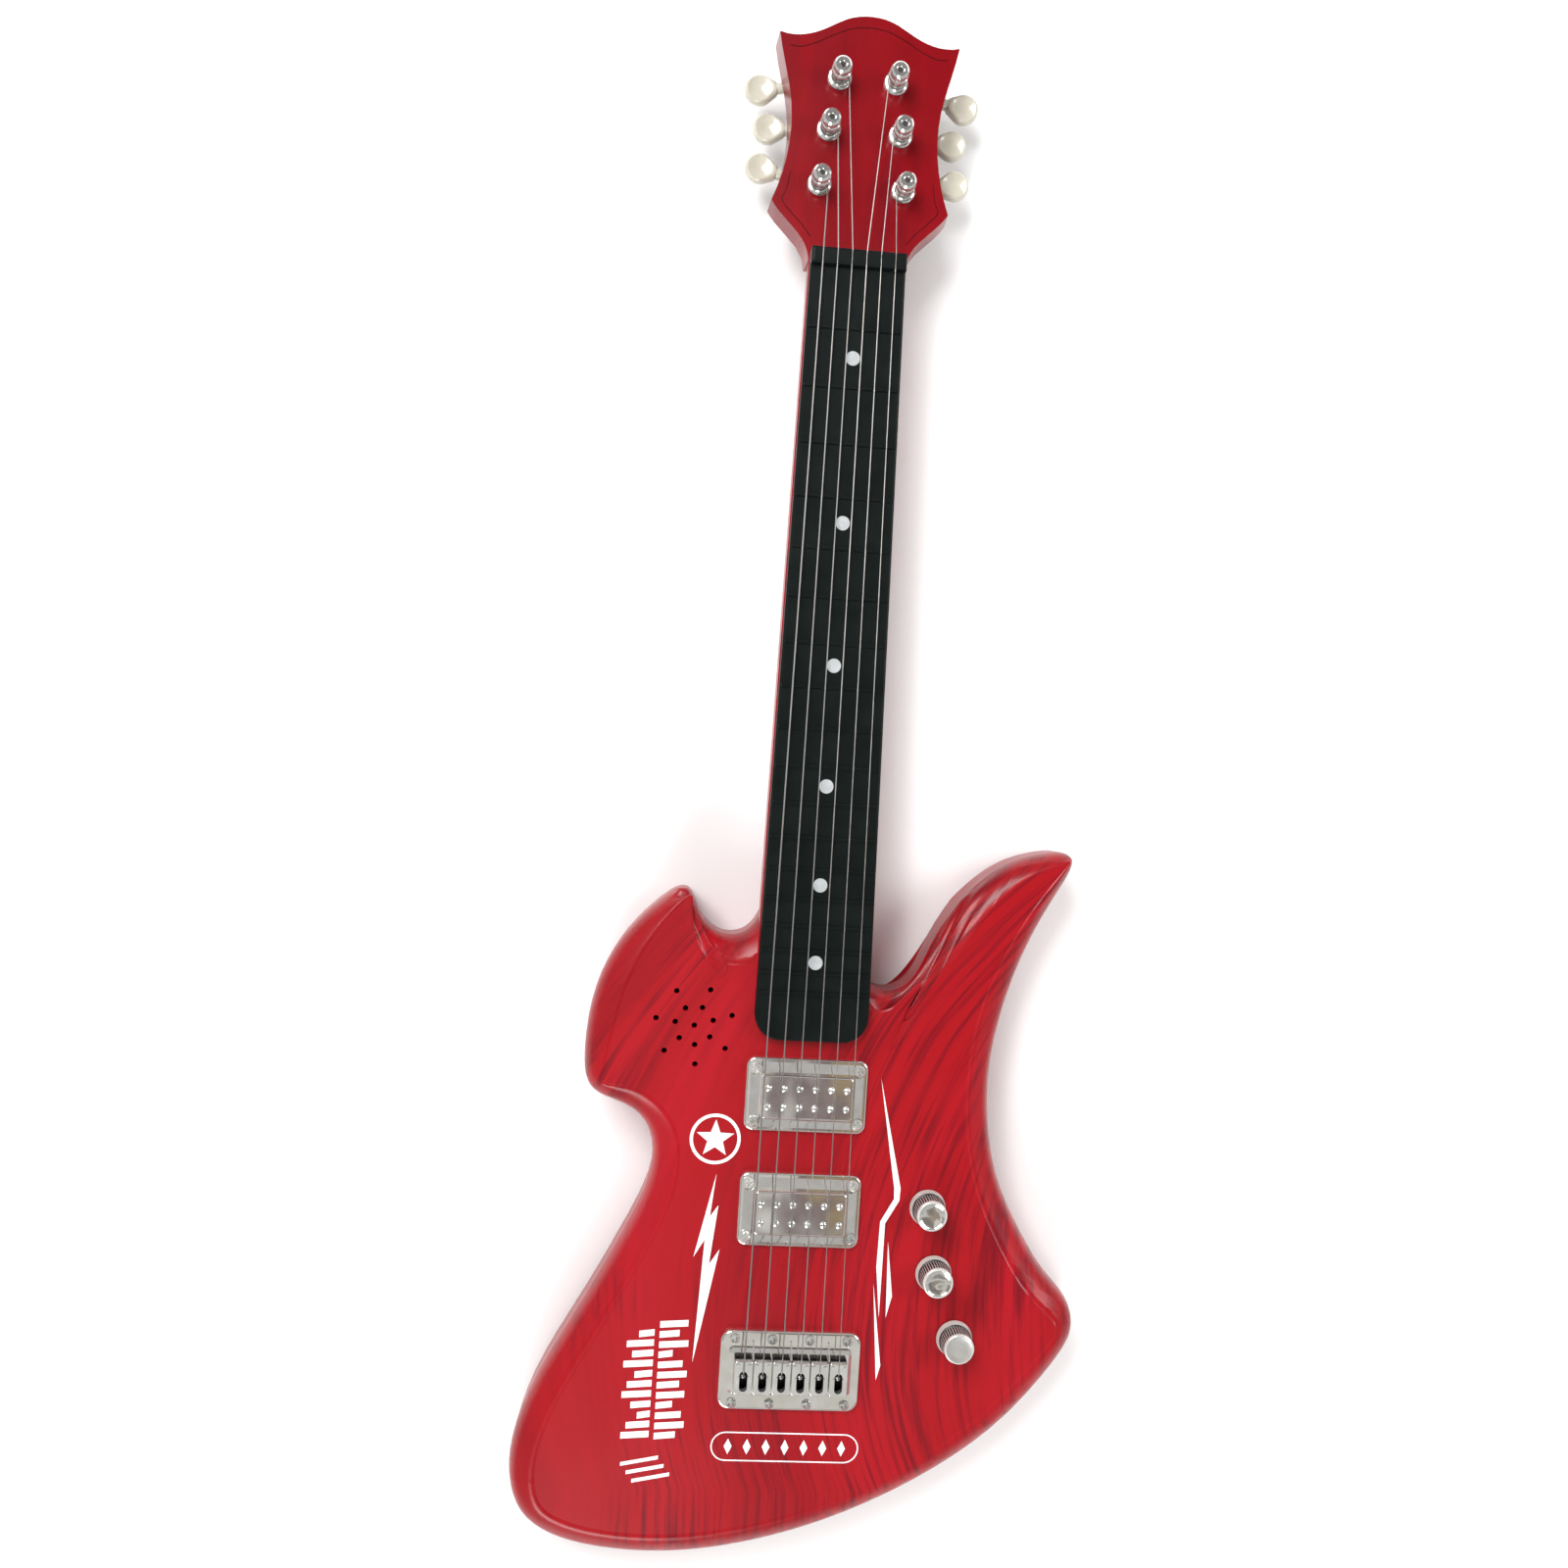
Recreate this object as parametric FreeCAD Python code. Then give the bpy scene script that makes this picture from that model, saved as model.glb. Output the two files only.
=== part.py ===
import FreeCAD, Part

import math
import os

from FreeCAD import Matrix, Vector

# Toy electric guitar with six metal strings, lying on its back.
#
# Everything is modelled in the neck frame: x is the distance from the neck's centre line, towards the
# treble side, y runs up the neck from the nut's playing edge, and z is the height above the surface
# that the back rests on.  ROW_ORIGIN is the point of that frame which becomes the part's origin.

# ---------------------------------------------------------------- driving dimensions, in millimetres
ROW_ORIGIN = Vector(3.75, -223.38, 0)

FACE_Z = 38.0            # the body's flat front face
PARTING_Z = 26.0         # where the front and back mouldings meet
WALL = 2.4               # wall of both mouldings
BACK_ROUND = 8.0         # rounding of the back edge
WALL_DRAFT = 0.6         # how far the side wall leans in between parting line and back edge

SCALE_LENGTH = 467.0     # nut to saddle slot
NECK_HALF_AT_NUT = 20.6
NECK_HALF_AT_HEEL = 25.0
HEEL_Y = -330.0
NECK_BACK_Z = 19.0
NECK_SIDE_Z = 31.0       # the neck's straight side ends here and its round back begins
NECK_TOP_END_Y = 7.0     # the neck's top stops behind the nut

BOARD_THICKNESS = 6.0
BOARD_END_Y = -326.5
BOARD_END_RADIUS = 11.0
BOARD_INSET = 0.5        # the fretboard is this much narrower than the neck on each side
FRETS = 18
FRET_WIDTH = 1.1
FRET_HEIGHT = 0.8
DOT_RADIUS = 3.0
DOT_SPACES = (1, 4, 7, 10, 13, 16)    # each dot lies between this fret and the next

NUT_LENGTH = 7.0
NUT_TOP_Z = 47.0
NUT_STRING_PITCH = 6.1
SADDLE_PITCH = 8.1
STRING_RADII = (0.20, 0.22, 0.24, 0.27, 0.30, 0.33)    # strings 1 to 6
STRING_AT_NUT_Z = 46.3
STRING_LAP_Z = 40.6       # height of the upper lap on a string post

HEAD_FACE_Z = 36.0
HEAD_BACK_Z = 22.0
HEAD_DRAFT = 0.9

TUNER_POSTS = ((17.9, 36.5), (15.3, 59.6), (12.0, 81.4))    # treble side, nearest the nut first
TUNER_FAN = (11.0, -2.0, -11.0)       # each machine stands square to the head's hollow side
BUTTON_OUT = (26.2, 24.4, 31.6)       # post axis to button centre, along the worm shaft
GEAR_TEETH = 14
GEAR_MODULE = 0.6
GEAR_THICKNESS = 4.0
GEAR_TIP_RADIUS = 4.65
WORM_CORE_RADIUS = 1.55
WORM_TIP_RADIUS = 2.28   # the thread turns clear of the gear's teeth
WORM_END_RADIUS = 1.3
WORM_AXIS_Z = 16.0
MESH_CENTRES = 7.0       # post axis to worm axis
TUNER_SCREW_SPOTS = ((-6.6, -5.2), (6.6, -5.2))
POST_RADIUS = 2.5
POST_FOOT_RADIUS = 2.0   # the gear is pressed on here
POST_BARREL_RADIUS = 3.1
POST_TOP_Z = 49.0
RUNNING_GAP = 0.06       # radial gap of a shaft in its hole

PICKUP_WIDTH = 52.4
PICKUP_LENGTH = 31.6
PICKUP_CENTRES_Y = (-350.5, -400.1)
PICKUP_RING_HEIGHT = 2.2
PICKUP_COVER_WIDTH = 39.4
PICKUP_COVER_LENGTH = 18.8
PICKUP_COVER_TOP_Z = 45.2
PICKUP_SCREW_X = 22.4
PICKUP_SCREW_Y = 11.5
POLE_PITCH_X = 6.7
POLE_ROW_Y = 4.0

BRIDGE_WIDTH = 60.6
BRIDGE_LENGTH = 34.2
BRIDGE_CENTRE_Y = -469.6
BRIDGE_PLATE_HEIGHT = 2.6
SADDLE_LENGTH = 14.0
SADDLE_CENTRE_Y = -469.4
SADDLE_TOP_Z = 48.6
BRIDGE_SCREW_X = (-24.3, -8.1, 8.1, 24.3)

KNOB_CENTRES = ((55.8, -397.3), (60.2, -425.9), (71.1, -454.0))
KNOB_SKIRT_RADIUS = 7.9
KNOB_TOP_RADIUS = 6.3
KNOB_HEIGHT = 12.0
KNOB_STEM_RADIUS = 3.0
KNOB_FLUTES = 36

GRILLE_CENTRE = (-49.5, -322.8)
GRILLE_HOLE_RADIUS = 1.2
GRILLE_RINGS = (8.3, 16.6)
GRILLE_PER_RING = 7
GRILLE_FIRST_DEG = 120.0
SPEAKER_RADIUS = 25.0

CELL_RADIUS = 7.1
CELL_LENGTH = 50.5
CELL_PITCH = 15.0
BATTERY_CENTRE = (5.0, -440.0)
BAY_SIZE = (55.0, 46.0)
BAY_TOP_Z = 18.0
DOOR_SIZE = (61.0, 52.0)
DOOR_THICKNESS = 2.2
DOOR_FACE_Z = 0.35
DOOR_GAP = 0.35

BODY_SCREWS = ((-84, -328), (-62, -284), (86, -268), (70, -332), (107, -447), (58, -504),
               (-30, -534), (-98, -522), (-54, -388))
HEAD_SCREWS = ((0, 88), (0, 24))
CASE_SCREW_RADIUS = 1.45

# The body's widest outline, clockwise from the treble side of the neck: x, y and the width of the
# front edge's rounding there, which shrinks towards the horns.  The stretch under the neck is hidden.
BODY_OUTLINE = (
    (26.8, -303.6, 12), (33.5, -305.8, 12), (41.5, -303.6, 12), (48.1, -294.8, 12),
    (53.6, -282.0, 12), (61.0, -269.2, 11), (71.5, -256.8, 10), (84.8, -247.2, 8.5),
    (97.2, -242.6, 6.5), (106.6, -241.0, 5), (111.0, -242.4, 3.6), (111.6, -246.8, 4),
    (107.2, -256.8, 6), (99.4, -271.8, 8), (91.6, -290.6, 10), (85.6, -311.4, 12),
    (81.8, -334.0, 12), (82.0, -357.0, 12), (87.2, -383.0, 12), (97.4, -405.2, 12),
    (111.4, -426.4, 12), (120.6, -436.4, 11), (125.0, -444.4, 10), (125.2, -453.4, 10),
    (120.4, -463.8, 11), (107.6, -481.2, 12), (89.4, -499.9, 12), (63.4, -518.6, 12),
    (34.9, -533.7, 12), (4.5, -545.3, 12), (-27.7, -552.8, 12), (-54.7, -555.0, 12),
    (-81.8, -552.8, 12), (-101.0, -547.0, 12), (-112.6, -537.6, 12), (-117.8, -523.0, 12),
    (-116.8, -505.0, 12), (-108.2, -480.0, 12), (-91.4, -448.5, 12), (-76.4, -419.4, 12),
    (-67.6, -399.6, 12), (-64.2, -384.0, 12), (-66.4, -370.6, 12), (-75.0, -361.4, 11),
    (-87.0, -356.4, 8), (-93.8, -350.6, 8), (-95.8, -338.0, 10), (-94.6, -320.0, 12),
    (-89.0, -299.8, 12), (-78.0, -282.0, 10), (-66.6, -270.6, 7), (-59.2, -265.8, 5),
    (-54.2, -266.6, 4), (-51.4, -272.0, 6), (-46.6, -279.6, 9), (-39.0, -284.3, 11),
    (-31.4, -283.8, 12), (-26.0, -279.4, 12), (-21.5, -271.0, 12), (-12.0, -262.0, 12),
    (0.0, -262.0, 12), (10.0, -277.0, 12), (17.5, -295.0, 12),
)
# The tips of the two horns and the heel under the neck are solid: the hollow passes these points by.
SOLID_POINTS = (7, 8, 9, 10, 11, 12, 50, 51, 52, 53, 58, 59, 60, 61)

# The head's front face, treble half, from the middle of the top round to the neck.
HEAD_TOP = ((0, 108.2), (8.5, 106.9), (15.0, 103.8), (21.5, 100.3), (29.5, 98.0), (38.4, 98.6))
HEAD_SIDE = ((38.4, 98.6), (35.8, 87.0), (32.6, 74.0), (31.3, 61.0), (32.6, 46.0), (37.8, 28.2))
HEAD_FLARE = ((37.8, 28.2), (30.2, 19.6), (24.2, 13.2), (20.8, 4.0))
HEAD_HOLLOW = ((0, 102), (12, 100), (24, 93.5), (30, 92), (27.5, 62), (32, 30), (20, 14), (14, 9))


# ---------------------------------------------------------------- small helpers
def box(x0, x1, y0, y1, z0, z1):
    return Part.makeBox(x1 - x0, y1 - y0, z1 - z0, Vector(x0, y0, z0))


def rod(x, y, z0, z1, radius):
    return Part.makeCylinder(radius, z1 - z0, Vector(x, y, z0))


def ring(x, y, z0, z1, outer, inner):
    return rod(x, y, z0, z1, outer).cut(rod(x, y, z0 - 1, z1 + 1, inner))


def spin(profile):
    """A solid turned about the z axis from (radius, z) corners."""
    points = [Vector(r, 0, z) for r, z in profile]
    face = Part.Face(Part.makePolygon(points + points[:1]))
    return face.revolve(Vector(0, 0, 0), Vector(0, 0, 1), 360)


def moved(shape, x=0.0, y=0.0, z=0.0):
    return shape.translated(Vector(x, y, z))


def turned(shape, degrees):
    copy = shape.copy()
    copy.rotate(Vector(0, 0, 0), Vector(0, 0, 1), degrees)
    return copy


def mirrored(shape):
    """The same piece on the bass side."""
    return shape.mirror(Vector(0, 0, 0), Vector(1, 0, 0))


def rounded_block(width, length, z0, z1, corner, x=0.0, y=0.0):
    """An upright block centred on x, y with rounded upright edges."""
    block = box(x - width / 2, x + width / 2, y - length / 2, y + length / 2, z0, z1)
    upright = [e for e in block.Edges if abs(e.tangentAt(e.FirstParameter).z) > 0.99]
    return block.makeFillet(corner, upright)


def soften(shape, radius, z):
    """Rounds every edge that lies flat at height z."""
    flat = [e for e in shape.Edges if abs(e.BoundBox.ZMax - z) < 1e-4 and abs(e.BoundBox.ZMin - z) < 1e-4]
    return shape.makeFillet(radius, flat)


def fused(shapes):
    return shapes[0].multiFuse(shapes[1:]) if len(shapes) > 1 else shapes[0]


def screw(x, y, seat_z, head_radius, head_height, shank_radius, shank_length, down=True):
    """A pan-head screw with a cross recess, driven down (or up) from its seat."""
    head = spin(((0, 0), (head_radius, 0), (head_radius, head_height * 0.45),
                 (head_radius * 0.72, head_height * 0.9), (0, head_height)))
    shank = rod(0, 0, -shank_length, 0.01, shank_radius)
    slot = head_radius * 0.62
    width = head_radius * 0.13
    recess_z = head_height * 0.5
    cross = [box(-slot, slot, -width, width, recess_z, head_height + 1),
             box(-width, width, -slot, slot, recess_z, head_height + 1)]
    piece = head.fuse(shank).cut(cross)
    if not down:
        piece.rotate(Vector(0, 0, 0), Vector(1, 0, 0), 180)
    return moved(piece, x, y, seat_z)


def rounded_route(corners, bend):
    """Edges of straight runs joined by tangent arcs."""
    edges = []
    start = corners[0]
    for before, here, after in zip(corners, corners[1:], corners[2:]):
        into = (here - before).normalize()
        out = (after - here).normalize()
        turn = into.getAngle(out)
        if turn > 0.001:
            back = bend * math.tan(turn / 2)
            arc_start = here - into * back
            arc_end = here + out * back
            towards = (out - into).normalize()
            arc_middle = here + towards * (bend / math.cos(turn / 2) - bend)
            edges.append(Part.LineSegment(start, arc_start).toShape())
            edges.append(Part.Arc(arc_start, arc_middle, arc_end).toShape())
            start = arc_end
    edges.append(Part.LineSegment(start, corners[-1]).toShape())
    return edges


def tube_along(edges, radius):
    """A round tube along tangent edges."""
    first = edges[0]
    begin = first.valueAt(first.FirstParameter)
    section = Part.Wire(Part.makeCircle(radius, begin, first.tangentAt(first.FirstParameter)))
    return Part.Wire(edges).makePipeShell([section], True, True)


def bent_tube(points, radius, bend):
    return tube_along(rounded_route([Vector(*p) for p in points], bend), radius)


# ---------------------------------------------------------------- body outline and its sections
def closed_curve(points, parameters):
    curve = Part.BSplineCurve()
    curve.interpolate(Points=points, PeriodicFlag=True, Parameters=parameters)
    return curve


def closed_wire(points, parameters):
    """The closed curve as a chain of edges, each five points long or less."""
    curve = closed_curve(points, parameters)
    cuts = parameters[:-1:5] + parameters[-1:]
    return Part.Wire([curve.toShape(a, b) for a, b in zip(cuts, cuts[1:])])


def spline_parameters(points):
    steps = [math.sqrt((b - a).Length) for a, b in zip(points, points[1:] + points[:1])]
    return [sum(steps[:i]) for i in range(len(steps) + 1)]


def outline_frame():
    """Every outline point with its outward normal and the rounding of the front edge there."""
    points = [Vector(x, y, 0) for x, y, _ in BODY_OUTLINE]
    parameters = spline_parameters(points)
    curve = closed_curve(points, parameters)
    frame = []
    for point, parameter, corner in zip(points, parameters, BODY_OUTLINE):
        along = curve.tangent(parameter)[0]
        frame.append((point, Vector(-along.y, along.x, 0), corner[2]))
    return frame


OUTER_FRAME = outline_frame()
HOLLOW_FRAME = [item for i, item in enumerate(OUTER_FRAME) if i not in SOLID_POINTS]


def body_section(frame, wall, inset, round_share, z):
    """The outline at height z, moved in by inset and by a share of the edge rounding inside the wall."""
    parameters = spline_parameters([point for point, _, _ in frame])
    shifted = [point - normal * (inset + round_share * (r - wall)) + Vector(0, 0, z)
               for point, normal, r in frame]
    return closed_wire(shifted, parameters)


def body_lump(frame, wall, front_z, back_z):
    """The body's form above and below the parting line, with its whole surface moved in by wall."""
    front = []
    for degrees in (0, 22.5, 45, 67.5, 90):
        angle = math.radians(degrees)
        height = PARTING_Z + (front_z - PARTING_Z) * math.sin(angle)
        front.append(body_section(frame, wall, wall, 1 - math.cos(angle), height))
    leaning = wall + WALL_DRAFT
    side = [body_section(frame, wall, wall, 0, PARTING_Z),
            body_section(frame, wall, leaning, 0, BACK_ROUND)]
    back = []
    for degrees in (0, 30, 60, 90):
        angle = math.radians(degrees)
        height = BACK_ROUND - (BACK_ROUND - back_z) * math.sin(angle)
        back.append(body_section(frame, wall, leaning, BACK_ROUND / 12.0 * (1 - math.cos(angle)), height))
    lower = Part.makeLoft(side, True, True).fuse(Part.makeLoft(back, True, False))
    return Part.makeLoft(front, True, False), lower


# ---------------------------------------------------------------- neck and head forms
def neck_half_width(y):
    share = y / HEEL_Y
    return NECK_HALF_AT_NUT + (NECK_HALF_AT_HEEL - NECK_HALF_AT_NUT) * share


def neck_section(y, wall):
    half = neck_half_width(y) - wall
    top = FACE_Z - wall
    depth = NECK_SIDE_Z - NECK_BACK_Z - wall
    corners = [Vector(-half, y, NECK_SIDE_Z), Vector(-half, y, top), Vector(half, y, top),
               Vector(half, y, NECK_SIDE_Z)]
    bottom = [Vector(half * math.cos(math.radians(a)), y, NECK_SIDE_Z - depth * math.sin(math.radians(a)))
              for a in (0, 20, 45, 70, 90, 110, 135, 160, 180)]
    curve = Part.BSplineCurve()
    curve.interpolate(Points=bottom, InitialTangent=Vector(0, 0, -1), FinalTangent=Vector(0, 0, 1))
    edges = [Part.LineSegment(a, b).toShape() for a, b in zip(corners, corners[1:])]
    return Part.Wire(edges + [curve.toShape()])


def neck_lump(wall, y_end, y_start):
    return Part.makeLoft([neck_section(y_start, wall), neck_section(y_end, wall)], True, True)


def spline_edge(points, z, grow=0.0):
    curve = Part.BSplineCurve()
    curve.interpolate(Points=[Vector(x + math.copysign(grow, x) if x else x, y, z) for x, y in points])
    return curve.toShape()


def bass_side(points):
    return [(-x, y) for x, y in reversed(points)]


def head_wire(z, grow):
    """The head's outline at height z, with its sides moved out by grow."""
    top = bass_side(HEAD_TOP[1:]) + list(HEAD_TOP)
    half, low = HEAD_FLARE[-1][0] + grow, HEAD_FLARE[-1][1]
    edges = [spline_edge(top, z, grow), spline_edge(HEAD_SIDE, z, grow), spline_edge(HEAD_FLARE, z, grow),
             Part.LineSegment(Vector(half, low, z), Vector(-half, low, z)).toShape(),
             spline_edge(bass_side(HEAD_FLARE), z, grow), spline_edge(bass_side(HEAD_SIDE), z, grow)]
    return Part.Wire(edges)


def head_lump():
    return Part.makeLoft([head_wire(HEAD_BACK_Z, HEAD_DRAFT), head_wire(HEAD_FACE_Z, 0.0)], True, True)


def head_hollow():
    right = [Vector(x, y, 0) for x, y in HEAD_HOLLOW]
    left = [Vector(-p.x, p.y, 0) for p in reversed(right[1:])]
    face = Part.Face(Part.makePolygon(right + left + right[:1]))
    hollow = face.extrude(Vector(0, 0, HEAD_FACE_Z - HEAD_BACK_Z - 2 * WALL))
    return moved(hollow, z=HEAD_BACK_Z + WALL)


# ---------------------------------------------------------------- the two mouldings
def slab_above():
    return box(-200, 200, -600, 150, PARTING_Z, 60)


def slab_below():
    return box(-200, 200, -600, 150, -10, PARTING_Z)


def boss_places():
    return [(x, y, WALL) for x, y in BODY_SCREWS] + [(x, y, HEAD_BACK_Z + WALL) for x, y in HEAD_SCREWS]


def tuner_places():
    """(x, y) of every post, strings 1 to 6."""
    treble = list(TUNER_POSTS)
    bass = [(-x, y) for x, y in reversed(TUNER_POSTS)]
    return treble + bass


def grille_holes():
    x0, y0 = GRILLE_CENTRE
    places = [(x0, y0)]
    for radius in GRILLE_RINGS:
        for i in range(GRILLE_PER_RING):
            angle = math.radians(GRILLE_FIRST_DEG - i * 360.0 / GRILLE_PER_RING)
            places.append((x0 + radius * math.cos(angle), y0 + radius * math.sin(angle)))
    return [rod(x, y, 30, 45, GRILLE_HOLE_RADIUS) for x, y in places]


def front_holes():
    holes = grille_holes()
    holes += [rod(x, y, 30, 45, KNOB_STEM_RADIUS + 0.5) for x, y in KNOB_CENTRES]
    holes += [rod(x, y, HEAD_FACE_Z - 6, 45, 3.55) for x, y in tuner_places()]
    holes += [rod(x, y, 20, 45, 1.0) for x, y in pickup_screw_places() + bridge_screw_places()]
    holes += [rod(x, y, 20, 33.5, CASE_SCREW_RADIUS) for x, y, _ in boss_places()[:len(BODY_SCREWS)]]
    holes += [rod(x, y, 20, 32.0, CASE_SCREW_RADIUS) for x, y in HEAD_SCREWS]
    return holes


def front_shell(lumps, hollows):
    outer = fused([lumps[0], lumps[2].common(slab_above()), lumps[3].common(slab_above())])
    shell = outer
    for hollow in (hollows[0], hollows[2], hollows[3]):
        shell = shell.cut(hollow)
    shell = shell.common(slab_above())
    bosses = [rod(x, y, PARTING_Z, 36.5 if z < 10 else 34.5, 3.6) for x, y, z in boss_places()]
    bosses.append(ring(GRILLE_CENTRE[0], GRILLE_CENTRE[1], 31.5, FACE_Z - 1, SPEAKER_RADIUS + 1.8,
                       SPEAKER_RADIUS + 0.3))
    inside = [b.common(outer) for b in bosses]
    shell = fused([shell] + inside)
    # a level seat for the fretboard over the heel
    seat = box(-26, 26, BOARD_END_Y - 1, 5, FACE_Z, FACE_Z + 1)
    return shell.cut(front_holes()).cut(seat)


def back_shell(lumps, hollows):
    outer = fused([lumps[1], lumps[2].common(slab_below()), lumps[3].common(slab_below())])
    shell = outer
    for hollow in (hollows[1], hollows[2], hollows[3]):
        shell = shell.cut(hollow)
    shell = shell.common(slab_below())
    x, y = BATTERY_CENTRE
    width, length = BAY_SIZE
    bay = box(x - width / 2 - WALL, x + width / 2 + WALL, y - length / 2 - WALL, y + length / 2 + WALL,
              1.0, BAY_TOP_Z + WALL)
    seat = box(x - DOOR_SIZE[0] / 2 - 3, x + DOOR_SIZE[0] / 2 + 3, y - DOOR_SIZE[1] / 2 - 3,
               y + DOOR_SIZE[1] / 2 + 3, 1.0, 5.0)
    lug = rod(x, door_screw_y(), 1.0, 12.0, 6.5)
    wells = [rod(sx, sy, z - WALL + 0.5, PARTING_Z, 4.6) for sx, sy, z in boss_places()]
    added = [w.common(outer) for w in wells] + [bay, seat, lug]
    shell = fused([shell] + added)
    holes = []
    for sx, sy, z in boss_places():
        head_z = screw_seat_z(z)
        holes.append(rod(sx, sy, -1, head_z, 3.2))
        holes.append(rod(sx, sy, -1, PARTING_Z + 1, 1.6))
    holes += [rod(px, py, 15, PARTING_Z, 2.8) for px, py in tuner_places()]
    holes += [rod(px, py, 15, PARTING_Z, 0.9) for px, py in tuner_screw_places()]
    holes.append(box(x - width / 2, x + width / 2, y - length / 2, y + length / 2, -1, BAY_TOP_Z))
    holes.append(door_seat())
    return shell.cut(holes)


def screw_seat_z(floor_z):
    return 16.0 if floor_z < 10 else HEAD_BACK_Z + 1.4


def case_screws():
    pieces = []
    for x, y, z in boss_places():
        seat = screw_seat_z(z)
        top = 33.0 if z < 10 else 31.5
        head_height = 1.2 if z > 10 else 2.0
        pieces.append(screw(x, y, seat, 2.8, head_height, CASE_SCREW_RADIUS - 0.03, top - seat, down=False))
    return pieces


# ---------------------------------------------------------------- battery door, cells and contacts
def door_screw_y():
    return BATTERY_CENTRE[1] - DOOR_SIZE[1] / 2 - 3.5


def door_screw():
    return screw(BATTERY_CENTRE[0], door_screw_y(), DOOR_FACE_Z + 1.3, 2.6, 1.2, 1.3, 5.5, down=False)


def door_hinge():
    """A point on the door's hinge line, which runs along x past its two tabs."""
    return Vector(BATTERY_CENTRE[0], BATTERY_CENTRE[1] + DOOR_SIZE[1] / 2 - DOOR_THICKNESS / 2,
                  DOOR_FACE_Z + DOOR_THICKNESS / 2)


def door_outline(grow, z0, z1):
    x, y = BATTERY_CENTRE
    half_x = DOOR_SIZE[0] / 2 + grow
    plate = box(x - half_x, x + half_x, y - DOOR_SIZE[1] / 2 - grow, door_hinge().y, z0, z1)
    return plate.fuse(rod(x, door_screw_y(), z0, z1, 5.5 + grow)).removeSplitter()


def door_edge(radius, grow):
    x = BATTERY_CENTRE[0]
    half_x = DOOR_SIZE[0] / 2 + grow
    hinge = door_hinge()
    return Part.makeCylinder(radius, 2 * half_x, Vector(x - half_x, hinge.y, hinge.z), Vector(1, 0, 0))


def door_seat():
    """The room that the closed door and its tabs take from the back moulding."""
    top = DOOR_FACE_Z + DOOR_THICKNESS + 0.15
    edge = door_edge(DOOR_THICKNESS / 2 + DOOR_GAP, DOOR_GAP)
    hinge = door_hinge()
    half_x = DOOR_SIZE[0] / 2 + DOOR_GAP
    mouth = box(BATTERY_CENTRE[0] - half_x, BATTERY_CENTRE[0] + half_x, hinge.y - 2,
                hinge.y + DOOR_THICKNESS / 2 + DOOR_GAP, -1, hinge.z)
    tabs = [box(tx - 4.5, tx + 4.5, hinge.y - 4, hinge.y + 5.6, 1.8, 8.0) for tx in door_tab_x()]
    pilot = rod(BATTERY_CENTRE[0], door_screw_y(), -1, 9.5, 2.0)
    return fused([door_outline(DOOR_GAP, -1, top), edge, mouth, pilot] + tabs)


def door_tab_x():
    return (BATTERY_CENTRE[0] - 16, BATTERY_CENTRE[0] + 16)


def battery_door():
    plate = door_outline(0, DOOR_FACE_Z, DOOR_FACE_Z + DOOR_THICKNESS)
    hinge = door_hinge()
    inner = DOOR_FACE_Z + DOOR_THICKNESS
    tabs = []
    for tx in door_tab_x():
        tabs.append(box(tx - 4, tx + 4, hinge.y - 1.8, hinge.y - 0.2, inner - 0.6, inner + 1.6))
        tabs.append(box(tx - 4, tx + 4, hinge.y - 1.8, hinge.y + 4.2, inner + 0.4, inner + 1.6))
    door = fused([plate, door_edge(DOOR_THICKNESS / 2, 0)] + tabs)
    x = BATTERY_CENTRE[0]
    grips = [box(x - 8, x + 8, BATTERY_CENTRE[1] - 20 + 3 * i, BATTERY_CENTRE[1] - 19 + 3 * i, -1,
                 DOOR_FACE_Z + 0.6) for i in range(4)]
    hole = rod(x, door_screw_y(), -1, 9, 1.7)
    sink = rod(x, door_screw_y(), -1, DOOR_FACE_Z + 1.3, 3.2)
    return door.cut(grips + [hole, sink])


def cell_rows():
    return [BATTERY_CENTRE[1] + CELL_PITCH * k for k in (-1, 0, 1)]


def cell_z():
    return DOOR_FACE_Z + DOOR_THICKNESS + 0.4 + CELL_RADIUS


def batteries():
    cells = []
    for i, y in enumerate(cell_rows()):
        way = 1 if i % 2 == 0 else -1
        x0 = BATTERY_CENTRE[0] - way * (CELL_LENGTH / 2 + 1.2)
        along = Vector(way, 0, 0)
        can = Part.makeCylinder(CELL_RADIUS, CELL_LENGTH - 1.5, Vector(x0, y, cell_z()), along)
        nub = Part.makeCylinder(2.7, 1.5, Vector(x0 + way * (CELL_LENGTH - 1.5), y, cell_z()), along)
        cells.append(can.fuse(nub).removeSplitter())
    return cells


def battery_contacts():
    """A flat plate at each cell's nub and a coil, drawn as stacked rings, at its other end."""
    pieces = []
    for i, y in enumerate(cell_rows()):
        way = 1 if i % 2 == 0 else -1
        wall = BATTERY_CENTRE[0] + way * BAY_SIZE[0] / 2
        far = BATTERY_CENTRE[0] - way * BAY_SIZE[0] / 2
        plate = box(min(wall, wall - way * 0.4), max(wall, wall - way * 0.4), y - 4.5, y + 4.5, 5, 15)
        back = box(min(far, far + way * 0.4), max(far, far + way * 0.4), y - 4.5, y + 4.5, 5, 15)
        coil = Part.makeTorus(3.2, 0.35, Vector(far + way * 0.7, y, cell_z()), Vector(1, 0, 0))
        pieces += [plate, back.fuse(coil)]
    return pieces


# ---------------------------------------------------------------- fretboard, nut and strings
def fret_y(number):
    """Each space is a millimetre shorter than the one before it, from 25.5 mm at the nut."""
    return -(26.0 * number - number ** 2 / 2.0)


def board_half(y):
    return neck_half_width(y) - BOARD_INSET


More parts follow.
